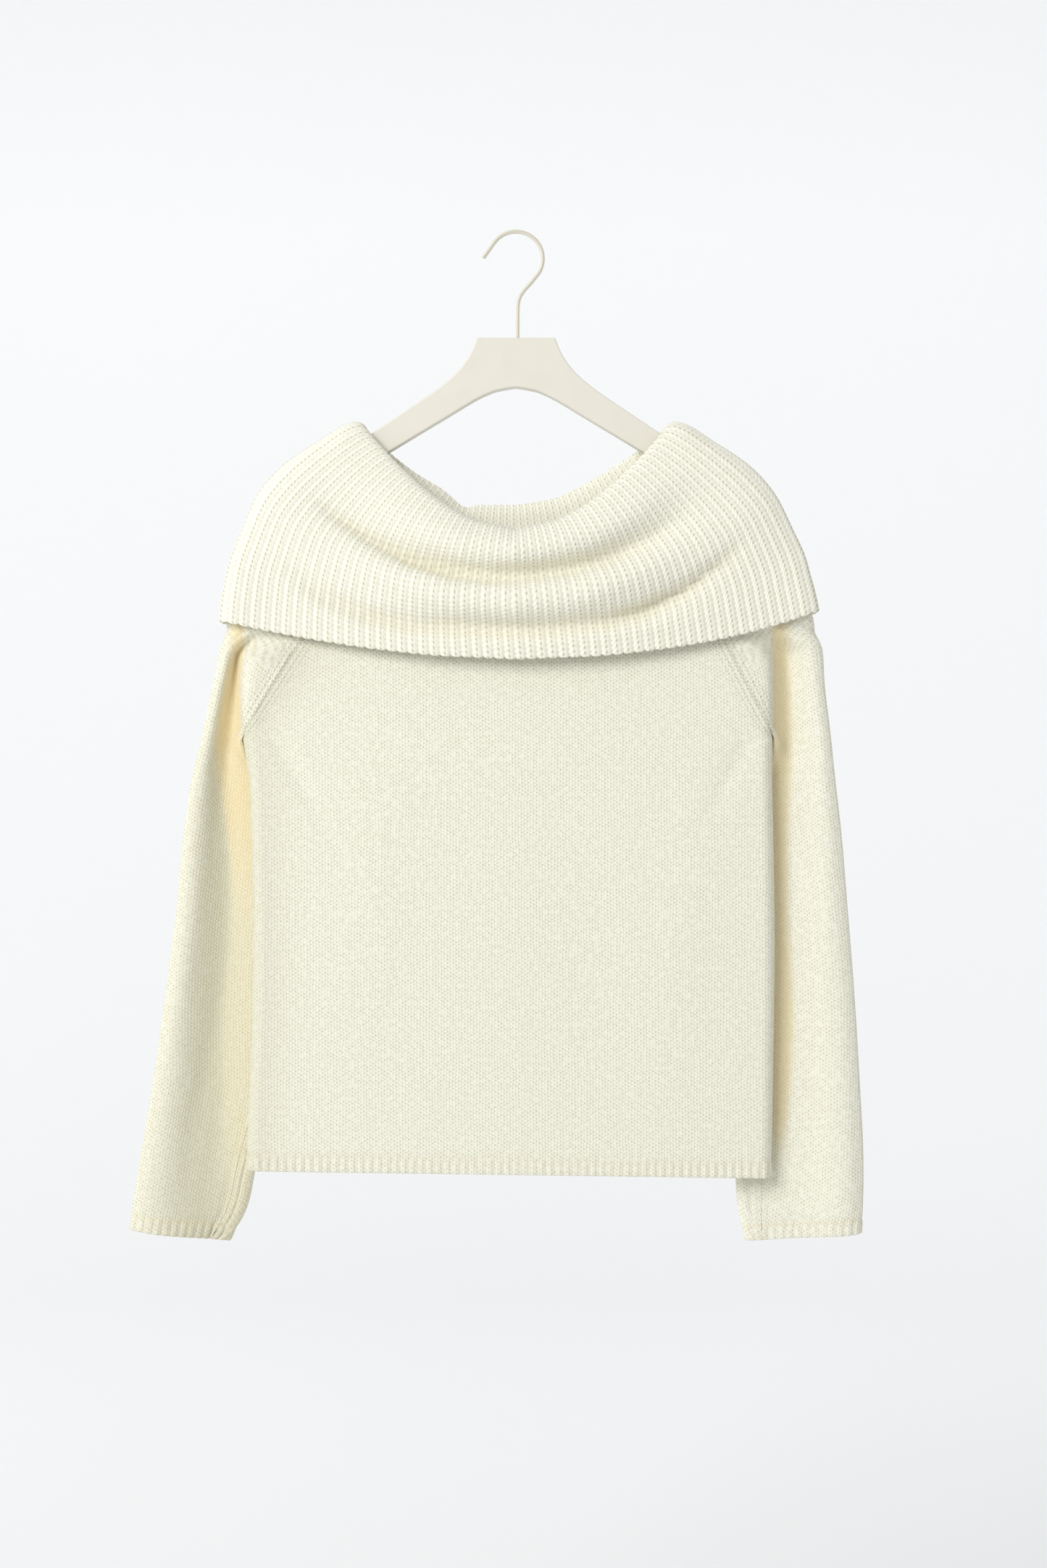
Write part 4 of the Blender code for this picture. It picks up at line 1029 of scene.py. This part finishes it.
def make_collar(mat):
    """The folded rib tube: ribs rise and fall with the cloth from the neckline to the free edge."""
    table = np.array(COLLAR_TABLE, dtype=float)
    place = np.linspace(0.0, len(table) - 1, COLLAR_STEPS)
    k = np.clip(np.floor(place).astype(int), 0, len(table) - 2)
    slope = np.gradient(table, axis=0) * SLACK
    values = hermite((place - k)[:, None], table[k], table[k + 1], slope[k], slope[k + 1])
    fractions = np.linspace(0.0, 1.0, RIBS * RIB_COLUMNS // 2 + 1)
    rings = [collar_ring(row, fractions) for row in values]
    grid = np.array([np.vstack((ring, ring[:1])) for ring in rings])
    rib = np.arange(grid.shape[1]) / RIB_COLUMNS
    normal = face_normals(grid, True)
    fall = np.clip(place - 6.5, 0.0, 1.0)[:, None]
    pressed, shade = creases(grid, COLLAR_CREASES)
    rolled, _ = creases(grid, COLLAR_ROLLS)
    on_front = fall * ease(-normal[:, :, 1], -0.1, 0.2)
    rise = (folds(grid, COLLAR_FOLDS) + pressed + rolled) * on_front
    rise += folds(grid, COLLAR_BACK_FOLDS) * fall * ease(normal[:, :, 1], -0.1, 0.2)
    rise += folds(grid, COLLAR_FULLNESS) * ease(place, 5.5, 8.0)[:, None]
    wave = (0.5 + 0.5 * np.cos(2 * math.pi * rib)) ** RIB_FULLNESS
    rib_rise = (RIB_FINE_RISE * wave - RIB_FINE_DROP)[None, :] * np.ones((len(grid), 1))
    on_arm = (1.0 - ease(place, 4.5, 6.0))[:, None]
    rib_rise = rib_rise * (1.0 - PRESSED_RIB * on_arm)
    rib_rise = rib_rise * (0.6 + 0.4 * ease(place, 7.5, 12.0))[:, None]
    face = grid + normal * (COLLAR_WALL / 2 + rise + rib_rise)[:, :, None]
    lift_x, lift_half, lift = BACK_LIFT
    near_fold = ease(place, 4.0, 6.0) * (1.0 - ease(place, 7.5, 9.5))
    behind = ease(grid[:, :, 1], 0.0, 8.0) * near_fold[:, None]
    face[:, :, 2] += lift * behind * np.exp(-((grid[:, :, 0] - lift_x) / lift_half) ** 2)
    face[:, :, 2] -= SCALLOP * wave[None, :] * ease(place, 12.3, 13.0)[:, None]
    closed, v = turned_in(face, normal, run_along(grid, 0) * MM, COLLAR_WALL)
    u = np.repeat(rib[None, :], len(closed), axis=0)
    # painted shade along the creases of the collar's front
    valley = lengthened(np.clip(shade * on_front, 0.0, 1.0), len(closed))
    return surface("collar_knit", closed, u, v, {"valley": valley}, mat, joined=True)


class SweaterSettings(bpy.types.PropertyGroup):
    """Sizes that the looks are built from."""

    key_power: bpy.props.FloatProperty(
        name="Key light", description="Power of the soft light at the upper left", default=129.0, unit="POWER"
    )
    room_light: bpy.props.FloatProperty(
        name="Room light", description="Strength of the pale light from all round", default=0.48
    )
    back_power: bpy.props.FloatProperty(
        name="Backdrop lights", description="Power of each of the two lights", default=84.0, unit="POWER"
    )
    backdrop: bpy.props.FloatProperty(
        name="Backdrop", description="How far it stands behind the hanger", default=6.0, unit="LENGTH"
    )
    floor_drop: bpy.props.FloatProperty(
        name="Floor", description="Height of the floor below the hook's crown", default=-1.6, unit="LENGTH"
    )
    camera_distance: bpy.props.FloatProperty(
        name="Camera distance", description="From the lens to the hanger", default=2.1, unit="LENGTH"
    )


def stand_for(obj, node):
    """Let a sheet take a solid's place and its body."""
    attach(obj, "root")
    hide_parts(node)


class SWEATER_OT_panels(bpy.types.Operator):
    """Build the front and the back in plain knit"""

    bl_idname = "sweater.panels"
    bl_label = "Build front and back"

    def execute(self, context):
        mat = knit_material("cream_wool_plain_knit", *BODY_TONES)
        front = make_panel("front_knit", True, mat)
        stand_for(front, "front")
        back = make_panel("back_knit", False, mat)
        stand_for(back, "back")
        return {"FINISHED"}


class SWEATER_OT_sleeves(bpy.types.Operator):
    """Build the two sleeves in plain knit"""

    bl_idname = "sweater.sleeves"
    bl_label = "Build sleeves"

    def execute(self, context):
        for name, side, tones in (("sleeve_left", -1, LEFT_TONES), ("sleeve_right", 1, RIGHT_TONES)):
            mat = knit_material(f"cream_wool_{name}", *tones)
            sleeve = make_sleeve(f"{name}_knit", side, mat)
            stand_for(sleeve, name)
        return {"FINISHED"}


class SWEATER_OT_collar(bpy.types.Operator):
    """Build the folded rib collar"""

    bl_idname = "sweater.collar"
    bl_label = "Build collar"

    def execute(self, context):
        collar = make_collar(rib_material("cream_wool_rib", *RIB_TONES))
        stand_for(collar, "collar")
        return {"FINISHED"}


class SWEATER_OT_hanger(bpy.types.Operator):
    """Give the hanger's body and hook their finish"""

    bl_idname = "sweater.hanger"
    bl_label = "Finish hanger"

    def execute(self, context):
        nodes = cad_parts
        body = lacquer_material("matt_cream_lacquer", "#E6E2D5", 0.5, "#E4E0D2")
        wire = lacquer_material("cream_lacquered_wire", "#DCD6C6", 0.42, "#D8D2C1")
        for name, mat in (("hanger_body", body), ("hanger_hook", wire)):
            nodes[name].data.materials.clear()
            nodes[name].data.materials.append(mat)
        return {"FINISHED"}


class SWEATER_OT_stage(bpy.types.Operator):
    """Build the pale floor, the soft light and the camera"""

    bl_idname = "sweater.stage"
    bl_label = "Build stage"

    def mirrored(self, place):
        """The same place on the other side of the camera's axis."""
        return (-place[0], *place[1:])

    def pick_edges(self, obj, wanted):
        """Select the edges whose two ends pass a test, in edit mode."""
        bpy.ops.object.mode_set(mode="EDIT")
        bpy.ops.mesh.select_mode(type="EDGE")
        bpy.ops.mesh.select_all(action="DESELECT")
        bpy.ops.object.mode_set(mode="OBJECT")
        for edge in obj.data.edges:
            edge.select = wanted([obj.data.vertices[k].co for k in edge.vertices])
        bpy.ops.object.mode_set(mode="EDIT")

    def execute(self, context):
        settings = context.scene.sweater
        depth = settings.backdrop + FLOOR_FRONT
        place = (0.0, settings.backdrop - depth / 2, settings.floor_drop)
        bpy.ops.mesh.primitive_plane_add(size=1.0, location=place)
        floor = context.object
        floor.name = "floor"
        floor.scale = (FLOOR_WIDE, depth, 1.0)
        bpy.ops.object.transform_apply(location=True, rotation=True, scale=True)
        far = settings.backdrop - NEARLY
        self.pick_edges(floor, lambda ends: min(e.y for e in ends) > far)
        bpy.ops.mesh.extrude_region_move(TRANSFORM_OT_translate={"value": (0.0, 0.0, BACKDROP_HIGH)})
        bpy.ops.object.mode_set(mode="OBJECT")
        low = settings.floor_drop + NEARLY
        self.pick_edges(floor, lambda ends: min(e.y for e in ends) > far and max(e.z for e in ends) < low)
        bpy.ops.mesh.bevel(offset=BACKDROP_CURVE, segments=16, profile=0.5)
        bpy.ops.object.mode_set(mode="OBJECT")
        floor.data.shade_smooth()
        mat, _, shader = new_material("matt_pale_floor_paint")
        shader.inputs["Base Color"].default_value = (*srgb(PAINT_TONE), 1.0)
        shader.inputs["Roughness"].default_value = 0.9
        floor.data.materials.append(mat)
        world = bpy.data.worlds.new("pale_room")
        world.use_nodes = True
        sky = world.node_tree.nodes["Background"]
        sky.inputs["Color"].default_value = (*srgb(ROOM_TONE), 1.0)
        sky.inputs["Strength"].default_value = settings.room_light
        context.scene.world = world
        right = [self.mirrored(BACK_LIGHT_PLACE), self.mirrored(BACK_LIGHT_AIM)]
        for name, place, aim, size, power in (
            ("key_light", KEY_PLACE, KEY_AIM, KEY_SIZE, settings.key_power),
            ("backdrop_light_left", BACK_LIGHT_PLACE, BACK_LIGHT_AIM, BACK_LIGHT_SIZE, settings.back_power),
            ("backdrop_light_right", *right, BACK_LIGHT_SIZE, settings.back_power),
        ):
            bpy.ops.object.light_add(type="AREA", location=place)
            lamp = context.object
            lamp.name = name
            lamp.data.energy = power
            lamp.data.size = size
            lamp.rotation_euler = (Vector(aim) - Vector(place)).to_track_quat("-Z", "Y").to_euler()
        place = (CAMERA_X, -settings.camera_distance, CAMERA_Z)
        bpy.ops.object.camera_add(location=place, rotation=(math.pi / 2, 0.0, 0.0))
        camera = context.object
        camera.data.lens = SENSOR * (settings.camera_distance - CLOTH_FRONT) / VIEW_HEIGHT
        camera.data.dof.use_dof = False
        context.scene.camera = camera
        context.scene.view_settings.view_transform = "Standard"
        return {"FINISHED"}


class SWEATER_PT_panel(bpy.types.Panel):
    """Sidebar panel with the build steps"""

    bl_label = "Sweater"
    bl_idname = "SWEATER_PT_panel"
    bl_space_type = "VIEW_3D"
    bl_region_type = "UI"
    bl_category = "Sweater"

    def draw(self, context):
        layout = self.layout
        settings = context.scene.sweater
        for name in SweaterSettings.__annotations__:
            layout.prop(settings, name)
        for step in STEPS:
            layout.operator(step.bl_idname)


STEPS = (SWEATER_OT_panels, SWEATER_OT_sleeves, SWEATER_OT_collar, SWEATER_OT_hanger, SWEATER_OT_stage)
CLASSES = (SweaterSettings, *STEPS, SWEATER_PT_panel)


def register():
    for cls in CLASSES:
        bpy.utils.register_class(cls)
    bpy.types.Scene.sweater = bpy.props.PointerProperty(type=SweaterSettings)


def unregister():
    del bpy.types.Scene.sweater
    for cls in reversed(CLASSES):
        bpy.utils.unregister_class(cls)


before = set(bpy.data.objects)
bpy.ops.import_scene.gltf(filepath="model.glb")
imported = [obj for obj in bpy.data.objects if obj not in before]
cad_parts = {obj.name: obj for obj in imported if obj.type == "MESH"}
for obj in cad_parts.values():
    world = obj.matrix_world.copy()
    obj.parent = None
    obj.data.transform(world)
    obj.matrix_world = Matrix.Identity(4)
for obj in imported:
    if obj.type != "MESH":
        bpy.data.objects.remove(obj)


def main():
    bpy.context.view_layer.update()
    register()
    bpy.ops.sweater.collar()
    bpy.ops.sweater.panels()
    bpy.ops.sweater.sleeves()
    bpy.ops.sweater.hanger()
    bpy.ops.sweater.stage()
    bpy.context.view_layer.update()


if __name__ == "__main__":
    main()
